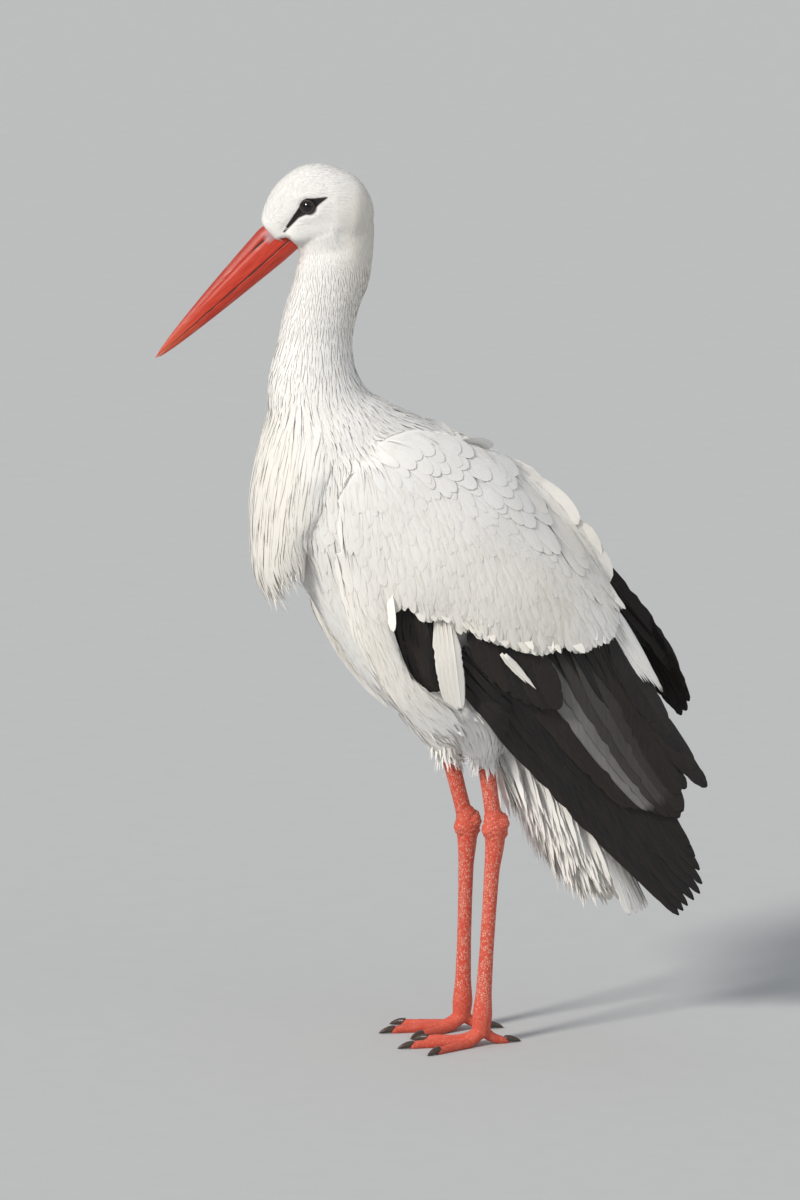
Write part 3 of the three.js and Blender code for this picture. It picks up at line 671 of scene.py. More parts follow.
def vanes(name, material, lines, normals, uv, half, outline, lift, along, columns, replaced=(), camber=0.1,
          ragged=0.0, keel=0.5, base=0.0, roll=0.0, splits=0.0, shaft=0.0, soft=0.0, rise=0.0):
    """A joined mesh of closed feathers or tufts.

    lines and normals (count, steps, 3) are read at the shares along. columns are the places across, -1..1.
    half is each one's half width, outline its share along the length, and lift how far the tip stands off.
    ragged makes the end uneven, splits pulls random edge points in, and shaft raises a rib.
    rise is how far a feather comes up from its root's depth, base, before it lies over the others.
    soft is how much of the body's own roundness the feathers take the light with.
    """
    lines, normals = resampled(lines, along), unit(resampled(normals, along))
    count, steps, _ = lines.shape
    columns = np.asarray(columns, float)
    width = len(columns)
    ahead = unit(np.gradient(lines, axis=1))
    across = unit(np.cross(normals, ahead))
    normals = np.cross(ahead, across)
    body = normals
    turn = (rng.normal(0, 1, (count, 1, 1)) if np.ndim(roll) == 0 else 1.0) * np.reshape(roll, (-1, 1, 1))
    across, normals = across * np.cos(turn) + normals * np.sin(turn), normals * np.cos(turn) - across * np.sin(turn)
    lift = np.broadcast_to(np.asarray(lift, float), (count,))
    up = base + rise * ease(0.0, 0.3, along)
    centre = lines + normals * (up + lift[:, None] * along[None] ** 0.9)[..., None]
    spread = half[:, None] * outline(along)[None]
    edge = np.abs(columns)
    reach = np.ones((count, steps, width))
    if splits:
        cut = (rng.random((count, steps, width)) < 0.3) & (edge > 0.9) & (along[None, :, None] > 0.3)
        reach -= cut * splits * rng.random((count, steps, width))
    drop = camber * edge**1.6 * spread[..., None]
    rib = shaft * np.exp(-((columns / 0.09) ** 2)) * (1 - 0.8 * along[:, None])
    shift = np.zeros((count, steps, width))
    if ragged:
        uneven = rng.normal(0, 1, (count, 1, width)) * ragged
        shift = uneven * half[:, None, None] * (ease(0.5, 1.0, along) * outline(along))[None, :, None]
    top = (
        centre[:, :, None]
        + across[:, :, None] * (columns * reach * spread[..., None])[..., None]
        - normals[:, :, None] * (drop - rib)[..., None]
        + ahead[:, :, None] * shift[..., None]
    )
    under = centre - normals * (keel * np.minimum(1, spread / 3 + 0.1))[..., None]
    verts = np.concatenate([top, under[:, :, None]], 2)
    corners = width + 1
    one = grid_tube(steps, corners)[:, ::-1]
    start = np.arange(count) * steps * corners
    quads = (one[None] + start[:, None, None]).reshape(-1, 4)
    root = np.arange(corners) + start[:, None]
    tip = np.arange(corners)[::-1] + (steps - 1) * corners + start[:, None]
    piece = mesh_from(name, verts.reshape(-1, 3), [quads, root, tip])
    under_faces = (one % corners == corners - 1).any(1)
    flat = np.concatenate([np.tile(under_faces, count), np.ones(2 * count, bool)])
    sharp = piece.data.attributes.get("sharp_face") or piece.data.attributes.new("sharp_face", "BOOLEAN", "FACE")
    write(sharp.data, "value", flat, bool)
    if soft:
        shading = unit(soft * body + (1 - soft) * normals)[:, :, None] + 0.12 * across[:, :, None] * columns[:, None]
        shading = np.concatenate([unit(shading), -normals[:, :, None]], 2)
        shade_normals(piece.data, shading.reshape(-1, 3), flat)
    u = np.broadcast_to(np.append((columns + 1) / 2, 0.5), (count, steps, corners))
    v = np.broadcast_to(along[None, :, None], (count, steps, corners))
    local = np.stack([u, v], -1)
    set_uv(piece, "OFBake", (uv[:, None, None] + PATCH * (local - 0.5)).reshape(-1, 2))
    set_uv(piece, "vane", local.reshape(-1, 2))
    set_points(piece, "tone", np.repeat(rng.random(count), steps * corners))
    markings_and_painted_shade(piece, points_of(piece.data))
    return finish_piece(piece, "black_plumage" if material is BLACK_COAT else "white_plumage", material, *replaced)


def shade_normals(mesh, point_normals, flat):
    """Normals for shading: one for each point, but flat and folded faces keep their own."""
    total = read(mesh.polygons, "loop_total")
    facing = np.repeat(read(mesh.polygons, "normal", 3, np.float32), total, axis=0)
    values = point_normals[read(mesh.loops, "vertex_index")]
    own = np.repeat(flat, total) | ((values * facing).sum(1) < 0.15)
    values[own] = facing[own]
    write(mesh.attributes.new("custom_normal", "FLOAT_VECTOR", "CORNER").data, "vector", values)


def tapered(root, gain, power, least, exponent=1.0, waist=(0.0, 0.0, 1.0)):
    """A feather's outline: its share of the half width at each share t of its length."""

    def outline(t):
        body = np.clip(root + gain * t, 0, 1) * (1 - waist[0] * ease(waist[1], waist[2], t))
        return body * np.clip(1 - t**power, least, 1) ** exponent

    return outline


ROUNDED = tapered(0.4, 1.4, 5, 0.004, 0.5)
POINTED = tapered(0.35, 2.4, 1.8, 0.03)
SLENDER = tapered(0.5, 2.0, 3, 0.05)
BLUNT = tapered(0.3, 2.2, 14, 0.02, 0.5, (0.25, 0.6, 0.95))
FRAYED = tapered(0.3, 2.2, 20, 0.02, 0.5, (0.55, 0.55, 1.0))


def to_tip(steps, power=1.5):
    """Shares along a feather, closer together towards its tip."""
    return 1 - (1 - np.linspace(0, 1, steps)) ** power


PATCH = 0.003  # how wide a vane lies on the skin's unwrap
# Places across a feather, from one edge to the other.
TUFT = (-1.0, 1.0)
PLUME = (-1.0, -0.45, 0.45, 1.0)
VANE = (-1.0, -0.72, -0.4, 0.0, 0.4, 0.72, 1.0)
FLIGHT_VANE = (-1.0, -0.85, -0.65, -0.42, -0.2, -0.07, 0.0, 0.07, 0.2, 0.42, 0.65, 0.85, 1.0)


def thinned(places, radius, cell):
    """Indices of places no nearer each other than the mean of their radii."""
    taken, keep = {}, []
    beside = list(product((-1, 0, 1), repeat=3))
    cells = np.floor(places / cell).astype(int).tolist()
    for i, ((cx, cy, cz), (x, y, z)) in enumerate(zip(cells, places.tolist())):
        r = radius[i]
        near = (spot for a, b, c in beside for spot in taken.get((cx + a, cy + b, cz + c), ()))
        if all((x - px) ** 2 + (y - py) ** 2 + (z - pz) ** 2 >= 0.25 * (r + q) ** 2 for px, py, pz, q in near):
            taken.setdefault((cx, cy, cz), []).append((x, y, z, r))
            keep.append(i)
    return np.array(keep)

# ---- materials


class Amount:
    """The output of a shader node, which + and * and the calls below join to others."""

    def __init__(self, socket):
        self.socket = socket

    def through(self, kind, inputs, output=0, **settings):
        """One output of a new node in the same material."""
        return from_node(self.socket.id_data, kind, inputs, output, **settings)

    def math(self, operation, *others):
        return self.through("Math", dict(enumerate((self, *others))), operation=operation)

    def __add__(self, other):
        return self.math("ADD", other)

    def __mul__(self, other):
        return self.math("MULTIPLY", other)

    def __abs__(self):
        return self.math("ABSOLUTE")

    def scaled(self, factor, offset):
        return self.math("MULTIPLY_ADD", factor, offset)

    def ramp(self, low, high):
        """0 at low, eased up to 1 at high."""
        inputs = {"Value": self, "From Min": low, "From Max": high}
        return self.through("MapRange", inputs, "Result", interpolation_type="SMOOTHSTEP")

    def noise(self, scale, detail=3.0, roughness=0.5, output=0):
        inputs = {"Vector": self, "Scale": scale, "Detail": detail, "Roughness": roughness}
        return self.through("TexNoise", inputs, output)

    def mix(self, first, second):
        """The first colour where this is 0, the second where it is 1."""
        made = add_node(self.socket.id_data, "Mix", {}, data_type="RGBA", clamp_factor=True)
        for name, value in (("Factor_Float", self), ("A_Color", first), ("B_Color", second)):
            target = next(i for i in made.inputs if i.identifier == name)
            feed(target, (*value, 1) if isinstance(value, tuple) else value)
        return Amount(next(o for o in made.outputs if o.identifier == "Result_Color"))


def feed(target, value):
    """Links a node's input to an Amount, or sets its number or colour."""
    if isinstance(value, Amount):
        target.id_data.links.new(value.socket, target)
    else:
        target.default_value = value


def add_node(tree, kind, inputs, **settings):
    made = tree.nodes.new("ShaderNode" + kind)
    for key, value in settings.items():
        setattr(made, key, value)
    for key, value in inputs.items():
        feed(made.inputs[key], value)
    return made


def from_node(tree, kind, inputs, output=0, **settings):
    """One output of a new node."""
    return Amount(add_node(tree, kind, inputs, **settings).outputs[output])


class Look:
    """A material in the making."""

    def __init__(self, name):
        self.material = bpy.data.materials.new(name)
        self.material.use_nodes = True
        self.tree = self.material.node_tree

    def read(self, *names):
        """The pieces' own numbers, as set by set_points()."""
        found = [from_node(self.tree, "Attribute", {}, "Fac", attribute_name=name) for name in names]
        return found if len(found) > 1 else found[0]

    def place(self):
        return from_node(self.tree, "TexCoord", {}, "Object")

    def vector(self, *parts):
        return from_node(self.tree, "CombineXYZ", dict(enumerate(parts)))

    def vane(self, slant, count):
        """In a vane: the share across from its shaft, the share along, and slanting barbs in locks, all 0..1."""
        uv = from_node(self.tree, "UVMap", {}, uv_map="vane")
        split = add_node(self.tree, "SeparateXYZ", {0: uv})
        across, along = abs(Amount(split.outputs[0]).scaled(2.0, -1.0)), Amount(split.outputs[1])
        slanted = across.math("MULTIPLY_ADD", -slant, along)
        barbs = self.vector(slanted * count, across * 1.2, self.read("tone") * 57.0).noise(1.0, 4.0, 0.62)
        return across, along, barbs

    def finish(self, base, roughness, specular=0.5, relief=None, **others):
        """relief is (height, strength, distance) of the bump. others are the shader's sockets, _ for a space."""
        shader = self.tree.nodes["Principled BSDF"]
        values = {"Base Color": base, "Roughness": roughness, "Specular IOR Level": specular}
        for key, value in {**values, **{key.replace("_", " "): value for key, value in others.items()}}.items():
            feed(shader.inputs[key], value)
        if relief:
            inputs = dict(zip(("Height", "Strength", "Distance"), relief))
            feed(shader.inputs["Normal"], from_node(self.tree, "Bump", inputs))
        return self.material


# WHITE_SHADE is the colour that painted shade and stains darken the white towards
WHITE_BRIGHT, WHITE_WARM, WHITE_SHADE = (0.89, 0.88, 0.86), (0.82, 0.75, 0.62), (0.56, 0.50, 0.43)


def white_feather(name, barbs=26.0, slant=0.35, bumps=0.35, barb_shade=0.16):
    look = Look(name)
    across, along, lines = look.vane(slant, barbs)
    tone, cream_and_shade, stain_and_shade = look.read("tone", "cream_and_shade", "stain_and_shade")
    base = (tone * 0.14 + cream_and_shade).mix(WHITE_BRIGHT, WHITE_WARM)
    # painted shade: darker in the grooves between barb locks, and towards each feather's root where the feathers
    # above cover it; then the stains and the nape's painted shade
    shade = lines.ramp(0.55, 0.30) * barb_shade + along.ramp(0.45, 0.0) * 0.10 + stain_and_shade * 0.6
    height = across.ramp(0.10, 0.0).math("MULTIPLY_ADD", 0.3, lines)
    return look.finish(shade.mix(base, WHITE_SHADE), 0.8, 0.18, (height, bumps, 0.0010), Sheen_Weight=0.2,
                       Sheen_Roughness=0.5)


def black_feather(name):
    look = Look(name)
    across, along, lines = look.vane(0.12, 95.0)
    tone, grey, brown = look.read("tone", "grey", "brown")
    base = lines.ramp(0.35, 0.72).mix((0.0060, 0.0057, 0.0060), (0.022, 0.021, 0.021))
    base = (tone * 0.15 + brown * 0.4).mix(base, (0.034, 0.023, 0.018))
    base = ((across + along * 0.05).ramp(0.93, 1.02) * 0.35).mix(base, (0.075, 0.060, 0.050))
    base = (grey * lines.scaled(0.6, 0.5)).mix(base, (0.24, 0.235, 0.225))
    height = across.ramp(0.07, 0.0).math("MULTIPLY_ADD", 0.8, lines)
    return look.finish(base, lines.scaled(0.25, 0.34), 0.30, (height, 0.5, 0.0010), Sheen_Weight=0.02)


def markings_and_painted_shade(piece, points):
    """The same cream and darkening on the skin and on the coat, from where each point lies on the bird. On the nape
    both are painted shade; under the tail both are a little stronger; on the breast, wings and back they are the
    plumage's own cream and stains.
    """
    x, y, z = points.T
    # painted shade: the nape is made warmer and darker
    painted_nape_shade = ease(-152, -118, x) * ease(690, 730, z) * ease(885, 840, z)
    front = ease(-170, -205, x) * ease(690, 600, z)
    under = ease(330, 250, z) * ease(20, 90, x)
    wing = ease(70, 92, np.abs(y)) * ease(600, 420, z) * ease(340, 380, z) * 0.30
    back = ease(20, 110, x) * ease(400, 480, z) * 0.25
    # the warmth: the plumage's own cream, with painted shade on the nape
    set_points(piece, "cream_and_shade", np.clip(0.30 * front + 0.30 * painted_nape_shade + 0.15 * under + wing + back, 0, 1))
    # the darkening: stains on the back, darker under the tail, and painted shade on the nape
    set_points(piece, "stain_and_shade", np.clip(0.16 * painted_nape_shade + 0.08 * under + 0.1 * back, 0, 1))


def skin_material():
    look = Look("bird_skin")
    bare, cream_and_shade, stain_and_shade = look.read("bare", "cream_and_shade", "stain_and_shade")
    place = look.place()
    down = place.noise(700.0)
    pits = place.through("TexVoronoi", {"Vector": place, "Scale": 900.0}, "Distance")
    # darker towards WHITE_SHADE by fine down noise, stains, and painted shade on the nape
    white = (down * 0.2 + stain_and_shade * 0.6).mix(cream_and_shade.mix(WHITE_BRIGHT, WHITE_WARM), WHITE_SHADE)
    black = pits.mix((0.006, 0.005, 0.005), (0.022, 0.018, 0.017))
    return look.finish(bare.mix(white, black), bare.scaled(-0.3, 0.85), 0.3, (pits + down, 0.4, 0.0005))


WHITE_COAT = white_feather("white_vanes")
WHITE_TUFTS = white_feather("white_tufts", barbs=8.0, bumps=0.1, barb_shade=0.10)
WHITE_PLUMES = white_feather("white_plumes", barbs=14.0, slant=0.9, bumps=0.4, barb_shade=0.2)
BLACK_COAT = black_feather("black_vanes")

markings_and_painted_shade(skin, skin_points)
set_points(skin, "bare", bareness(skin_points))
finish_piece(skin, "white_plumage", skin_material(), *FLESH)

# ---- the coat of the whole body


def skin_values():
    """For each point of the skin: feather length, half width, spacing and lift."""
    x, y, z = skin_points.T
    names = np.array([tract_of(name) for name in FLESH])[skin_tract]
    values = np.array([TRACTS[name][1:] for name in names])
    coverts, low = names == "coverts", ease(600, 430, z)
    values[coverts, :2] = np.stack([36 + 22 * low, 5.0 + 0.4 * low], 1)[coverts]
    scapular, rear = names == "scapulars", ease(-100, 80, x)
    values[scapular, :3] = np.stack([34 + 30 * rear, 8.5 + 5.5 * rear, 8.0 + 4.5 * rear], 1)[scapular]
    values[(names == "trunk") & (z > 585) & (x < -60)] = (26.0, 3.0, 4.8, 1.3)
    values[(names == "trunk") & (z < 400)] = (42.0, 4.0, 5.6, 2.6)
    return neighbour_mean(values, edge_array(skin.data), 14)


ROOTS_TRIED = 5.0  # for each square of the spacing, before they are thinned
SKIN_VALUES = surface.mean(skin_values())
SKIN_BARE = surface.mean(bareness(surface.points))


def roots_for(low, high, spacing=lambda values: values[:, 2]):
    """Roots evenly thinned where the coat's spacing lies from low to high, with the values there."""
    chosen = (SKIN_VALUES[:, 2] >= low) & (SKIN_VALUES[:, 2] < high) & (SKIN_BARE < 0.5)
    apart = spacing(SKIN_VALUES)
    places, uv, pick = surface.sample(np.where(chosen, ROOTS_TRIED / apart**2, 0))
    keep = thinned(places, apart[pick], apart[chosen].max())
    return places[keep], uv[keep], SKIN_VALUES[pick[keep]]


cad_tree, _ = node_tree(FLESH)


def within_coat(lines, slack):
    """True for centre lines whose tips stay near the CAD's own outline."""
    gaps = np.array([cad_tree.find_nearest(Vector(tip))[3] for tip in lines[:, -1]])
    return gaps < slack


def unbent(lines, normals):
    """True for feathers that don't fold over an edge."""
    length = np.linalg.norm(np.diff(lines, axis=1), axis=2).sum(1)
    across = np.linalg.norm(lines[:, -1] - lines[:, 0], axis=1)
    last = np.linalg.norm(lines[:, -1] - lines[:, -2], axis=1)
    running = last > 0.4 * length / (lines.shape[1] - 1)
    return running & (across > 0.86 * length) & ((normals[:, 0] * normals[:, -1]).sum(1) > 0.45)


def clear_of_eyes(lines):
    """True for tufts whose tips stay off the bare skin."""
    return np.maximum(bareness(lines[:, -1]), bareness(lines[:, 1])) < 0.7


def torso_as_tree():
    """A BVH of the trunk and the thighs."""
    verts, faces = [], []
    for points, parts in [loft(TRUNK_STATIONS)] + [thigh(**leg) for leg in LEGS.values()]:
        faces += [[i + len(verts) for i in face] for part in parts for face in part.tolist()]
        verts += points.tolist()
    return BVHTree.FromPolygons(verts, faces)


torso_tree = torso_as_tree()


FAR_OUT = 300.0  # further from the middle plane than any part of the bird


def torso_reach(x, z, side):
    """How far out the torso comes on a side at a place seen from there, or None beside it."""
    hit = torso_tree.ray_cast(Vector((x, side * FAR_OUT, z)), Vector((0, -side, 0)))[0]
    return None if hit is None else hit[1]


# The part of each wing that shows black: below the coverts, behind the flank and above the primaries' edge.
UNCOVERED = np.array([
    (-117, 483), (-105, 452), (-99, 459), (-87, 461), (-79, 447), (-70, 447), (-53, 449), (-36, 432), (-28, 441),
    (-20, 430), (-7, 425), (8, 420), (25, 412), (40, 409), (52, 405), (62, 410), (74, 411), (88, 406), (101, 406),
    (112, 409), (125, 413), (134, 424), (139, 440), (175, 430), (262, 420), (262, 100), (210, 118), (185, 140),
    (142, 185), (76, 251), (11, 313), (-11, 336), (-29, 351), (-42, 362), (-57, 377), (-77, 396), (-93, 424),
    (-106, 455),
], float)
BLACK_OUT, BLACK_OFF_TORSO = 34.0, 1.5  # how far out black may start, and how far off the torso


def in_uncovered(points):
    """True for points at a wing's surface in its black part."""
    x, z = points[..., 0], points[..., 2]
    inside = np.zeros(x.shape, bool)
    for (x0, z0), (x1, z1) in zip(UNCOVERED, np.roll(UNCOVERED, -1, 0)):
        crosses = (z0 > z) != (z1 > z)
        inside ^= crosses & (x < (x1 - x0) * (z - z0) / (z1 - z0 + 1e-9) + x0)
    for at in zip(*np.nonzero(inside)):
        px, py, pz = points[at]
        reach = torso_reach(px, pz, LEFT if py < 0 else RIGHT)
        inside[at] = abs(py) > max(BLACK_OUT, 0.0 if reach is None else abs(reach) + BLACK_OFF_TORSO)
    return inside


def cut_back(lines, normals, least, over=2.0):
    """Lines that stop where the wing's black part starts, give or take a little. True for those long enough."""
    count, steps, _ = lines.shape
    length = np.linalg.norm(np.diff(lines, axis=1), axis=2).sum(1)
    looks = 30
    inside = in_uncovered(resampled(lines, np.linspace(0, 1, looks)))
    first = np.where(inside.any(1), inside.argmax(1) / (looks - 1), 1.0)
    share = np.clip(np.where(first < 1, first + rng.normal(0, 0.5 * over, count) / length, 1.0), 0, 1)
    at = share[:, None] * np.linspace(0, 1, steps)
    return resampled(lines, at), unit(resampled(normals, at)), (first >= 1) | (share * length > least)


def coat_piece(name, chosen, made, values, material, **detail):
    """One piece of the coat from the chosen rows of (lines, normals, uv) and their values."""
    values = values[chosen]
    half = values[:, 1] * rng.uniform(0.85, 1.15, len(values))
    vanes(name, material, *(part[chosen] for part in made), half, lift=values[:, 3], **detail)


# Head and neck: short fine tufts.
TUFTS = dict(outline=POINTED, along=to_tip(4, 1.2), columns=TUFT, camber=0.0)
roots, root_uv, values = roots_for(0, 4.4)
lines, normals = march(roots, values[:, 0] * rng.uniform(0.8, 1.2, len(roots)), 3, sway=0.10)
clear = clear_of_eyes(lines)
on_head = values[:, 2] < 2.0
for label, chosen, rise in (("coat_head", on_head & clear, 0.2), ("coat_neck", ~on_head & clear, 0.5)):
    coat_piece(label, chosen, (lines, normals, root_uv), values, WHITE_TUFTS, **TUFTS, keel=0.6, base=-0.25,
               roll=0.12, soft=0.75, rise=rise)

# Body and wings: soft rounded vanes that overlap.
roots, root_uv, values = roots_for(4.4, 40)
lines, normals = march(roots, values[:, 0] * rng.uniform(0.85, 1.15, len(roots)), 8, sway=0.05)
lines, normals, long_enough = cut_back(lines, normals, 22.0)
near = within_coat(lines, 9.0) & long_enough & unbent(lines, normals)
wing_front = (normals[:, 0, 0] < -0.45) & (np.abs(roots[:, 1]) > 50) & (roots[:, 2] > 430)
values[wing_front, 1] = np.minimum(values[wing_front, 1], 3.4)
slim, low = values[:, 1] < 4.4, roots[:, 2] < 470
on_wings = (np.abs(roots[:, 1]) > 60) & (roots[:, 2] > 395)
PLUMES = dict(outline=POINTED, columns=PLUME, splits=0.25, soft=0.7)
BROAD = dict(outline=ROUNDED, columns=VANE, splits=0.08, soft=0.65)
for label, chosen, shape in (
    ("coat_breast", slim & ~low, PLUMES),
    ("coat_belly", slim & low, PLUMES),
    ("coat_left_wing", ~slim & on_wings & (roots[:, 1] < 0), BROAD),
    ("coat_right_wing", ~slim & on_wings & (roots[:, 1] > 0), BROAD),
    ("coat_trunk", ~slim & ~on_wings, BROAD),
):
    coat_piece(label, near & chosen, (lines, normals, root_uv), values, WHITE_COAT, along=to_tip(8), camber=0.05,
               ragged=0.06, keel=0.3, base=-0.4, roll=0.02, rise=1.4, **shape)

# Loose wisps over the vanes, which soften their edges.
roots, root_uv, values = roots_for(4.4, 40, spacing=lambda values: 0.45 * values[:, 2] + 3.2)
long = 14 + 0.32 * values[:, 0]
lines, normals = march(roots, long * rng.uniform(0.7, 1.3, len(roots)), 4, sway=0.10)
lines, normals, long_enough = cut_back(lines, normals, 9.0, over=5.0)
near = within_coat(lines, 8.0) & long_enough
values[:, 1] = 0.5 + 0.03 * values[:, 1]
values[:, 3] = values[:, 3] * 0.7 + 0.5
coat_piece("coat_wisps", near, (lines, normals, root_uv), values, WHITE_TUFTS, **TUFTS, keel=0.3, base=-0.1,
           roll=0.15, soft=0.7, rise=1.3)

# ---- long plumes, tail and flight feathers


def root_uv_of(places):
    """The unwrap of the skin at the nearest place to each root."""
    found = []
    for place in places:
        at, _, index, _ = surface.tree.find_nearest(Vector(place))
        a, b, c = surface.points[surface.corners[index]]
        v0, v1, v2 = b - a, c - a, np.array(at) - a
        d00, d01, d11, d20, d21 = v0 @ v0, v0 @ v1, v1 @ v1, v2 @ v0, v2 @ v1
        scale = max(d00 * d11 - d01 * d01, 1e-9)
        v, w = (d11 * d20 - d01 * d21) / scale, (d00 * d21 - d01 * d20) / scale
        found.append(np.array([1 - v - w, v, w]) @ surface.uv[index])
    return np.array(found)


def sheet_lines(place, a, b0, b1, steps):
    """Centre lines down a sheet place(a, b), from b0 to b1, with the way it faces."""
    b = b0[:, None] + (b1 - b0)[:, None] * np.linspace(0, 1, steps)
    a = a[:, None] + 0 * b
    here = place(a, b)
    faces = np.cross(place(a + 1e-3, b) - here, place(a, b + 1e-3) - here)
    return here, unit(faces)


def outward(lines, normals, centre):
    flip = np.sign(((lines - centre) * normals).sum(-1, keepdims=True))
    return normals * np.where(flip == 0, 1, flip)


def make_ruff():
    """Long pointed plumes from the base of the neck, hanging free at the bottom."""
    count = 760
    a = rng.uniform(-0.07, 1.07, count)
    b0 = rng.uniform(-0.02, 0.62, count)
    hanging = rng.uniform(60, 118, count) / 235
    b1 = np.minimum(b0 + hanging, 0.98 - 0.10 * rng.random(count) - 0.08 * (2 * a - 1) ** 2)
    keep = b1 - b0 > 0.2
    a, b0, b1 = a[keep], np.maximum(b0[keep], 0.0), b1[keep]
    thick = 10 * (1 - 0.75 * (2 * a - 1) ** 2)
    sway = rng.normal(0, 0.012, len(a))

    def place(a, b):
        sunk = 6.0 * np.exp(-(b - b0[:, None]) / 0.07) * np.exp(-b0[:, None] / 0.15)
        out = thick[:, None] * (1 - 0.55 * b**2) - 2.5 - sunk
        return on_bib(a + sway[:, None] * b, b, out)

    lines, normals = sheet_lines(place, a, b0, b1, 9)
    normals = outward(lines, normals, np.array([-140.0, 0, 560]))
    half = rng.uniform(2.6, 4.6, len(a))
    vanes("ruff_plumes", WHITE_PLUMES, lines, normals, root_uv_of(lines[:, 0]), half, SLENDER,
          rng.uniform(0.6, 2.8, len(a)), to_tip(12, 1.3), PLUME, camber=0.12, ragged=0.25, base=-0.5, roll=0.08,
          splits=0.25, soft=0.75)


make_ruff()


def fan(side, roots, tips, count, layer, closing=0.0, bow=0.0, step=0.45, jitter=0.0):
    """Centre lines of a fan on a wing: each feather lies a little proud of the one before it."""
    a = (np.arange(count) + 0.5) / count
    a = np.clip(a + rng.normal(0, 1, count) * jitter, 0.02, 0.98)
    root, tip = curve(roots, a), curve(tips, a)
    b = np.linspace(0, 1, 25)
    spots = root[:, None] + (tip - root)[:, None] * b[None, :, None]
    rise = bow * 4 * b * (1 - b)
    ahead = tip - root
    spots = spots + np.stack([-ahead[:, 1:2] * rise, ahead[:, 0:1] * rise], -1)
    out = layer - closing * b[None] + step * (np.arange(count) - count / 2)[:, None]
    lines = on_wing(side, spots, out)
    slope = on_wing(side, spots + np.array([2.0, 0]), out) - on_wing(side, spots - np.array([2.0, 0]), out)
    normals = np.cross(slope, unit(np.gradient(lines, axis=1)))
    return lines, unit(normals * np.sign(side * normals[..., 1:2]))


# How much of a secondary's front web is silver, and from where to where along it.
SILVER = [(0.0, 0, 1), (0.8, 0.08, 0.36), (1.0, 0.05, 0.99), (0.8, 0.08, 0.95), (0.15, 0.1, 0.9),
          (0.25, 0.1, 0.9), (0.1, 0.1, 0.9), (0.0, 0, 1)]
FLIGHT = {
    "left": {
        "primaries_vanes": dict(
            outline=FRAYED, brown=0.5,
            roots=[(-62, 405), (-16, 424), (36, 436)],
            tips=[(206, 119), (217, 131), (231, 147), (223, 182), (208, 208)],
            count=10, layer=-13.6, closing=6, bow=0.01, step=0.7, half=14, gap=8.0,
        ),
        "secondaries_vanes": dict(
            silver=SILVER,
            roots=[(-14, 428), (52, 424), (120, 428)],
            tips=[(146, 240), (168, 236), (190, 228), (206, 226), (200, 258)],
            count=8, layer=-7.6, closing=3, step=0.7, half=16,
        ),
        "tertials_vanes": dict(
            roots=[(72, 424), (106, 422), (126, 436)],
            tips=[(196, 256), (234, 254), (212, 284), (194, 310), (168, 334)],
            count=6, layer=-4.0, closing=4, step=0.7, half=15,
        ),
    },
    "right": {
        "primaries_vanes": dict(
            outline=FRAYED, brown=0.5,
            roots=[(-26, 398), (0, 412), (34, 428)],
            tips=[(150, 160), (162, 154), (178, 158), (186, 174), (186, 194)],
            count=9, layer=-13.6, bow=0.03, half=13,
        ),
        "secondaries_vanes": dict(
            silver=SILVER,
            roots=[(-14, 428), (52, 424), (118, 424)],
            tips=[(128, 230), (150, 220), (168, 216), (182, 228), (184, 262)],
            count=8, layer=-9.4, closing=14, half=16,
        ),
        "tertials_vanes": dict(
            roots=[(66, 470), (86, 500), (72, 536)],
            tips=[(184, 350), (208, 336), (222, 318), (228, 330), (219, 358)],
            count=7, layer=-5.2, closing=26, bow=0.05, half=12,
        ),
    },
}
# Small feathers over the flight feathers' roots: black ones, a white one, and frayed white ones at the rump.
OVER_FLIGHT = {
    "wrist_vanes": dict(
        roots=[(-112, 488), (-84, 468), (-58, 448)], tips=[(-84, 398), (-66, 374), (-50, 374)],
        count=6, layer=-7, half=13,
    ),
    "hand_vanes": dict(
        roots=[(-62, 450), (-54, 448), (-44, 444)], tips=[(-50, 364), (-40, 354), (-32, 356)],
        count=4, layer=-2.0, half=8, material=WHITE_PLUMES,
    ),
    "small_black_vanes": dict(
        roots=[(-30, 448), (0, 432), (26, 420), (46, 414)], tips=[(-10, 396), (18, 368), (50, 352), (74, 348)],
        count=8, layer=-3.0, step=0.5, half=12,
    ),
    "small_white_vanes": dict(
        roots=[(4, 410), (12, 408)], tips=[(28, 381), (48, 368)],
        count=2, layer=0.5, half=3.4, material=WHITE_PLUMES, outline=SLENDER, steps=10,
    ),
    "rump_plumes": dict(
        roots=[(108, 440), (126, 436), (134, 446)], tips=[(138, 360), (168, 366), (186, 354), (172, 384)],
        count=18, layer=-1.0, closing=4, half=4.4, jitter=0.03, step=0.25, material=WHITE_PLUMES,
        outline=SLENDER, ragged=0.5, splits=0.4, steps=14,
    ),
}


def clear_of_trunk(lines, side, gap):
    """Lines on a wing, kept at least a gap outside the torso."""
    flat = lines.reshape(-1, 3).copy()
    for i, (x, y, z) in enumerate(flat):
        reach = torso_reach(x, z, side)
        if reach is not None:
            flat[i, 1] = side * max(side * y, side * reach + gap)
    return flat.reshape(lines.shape)


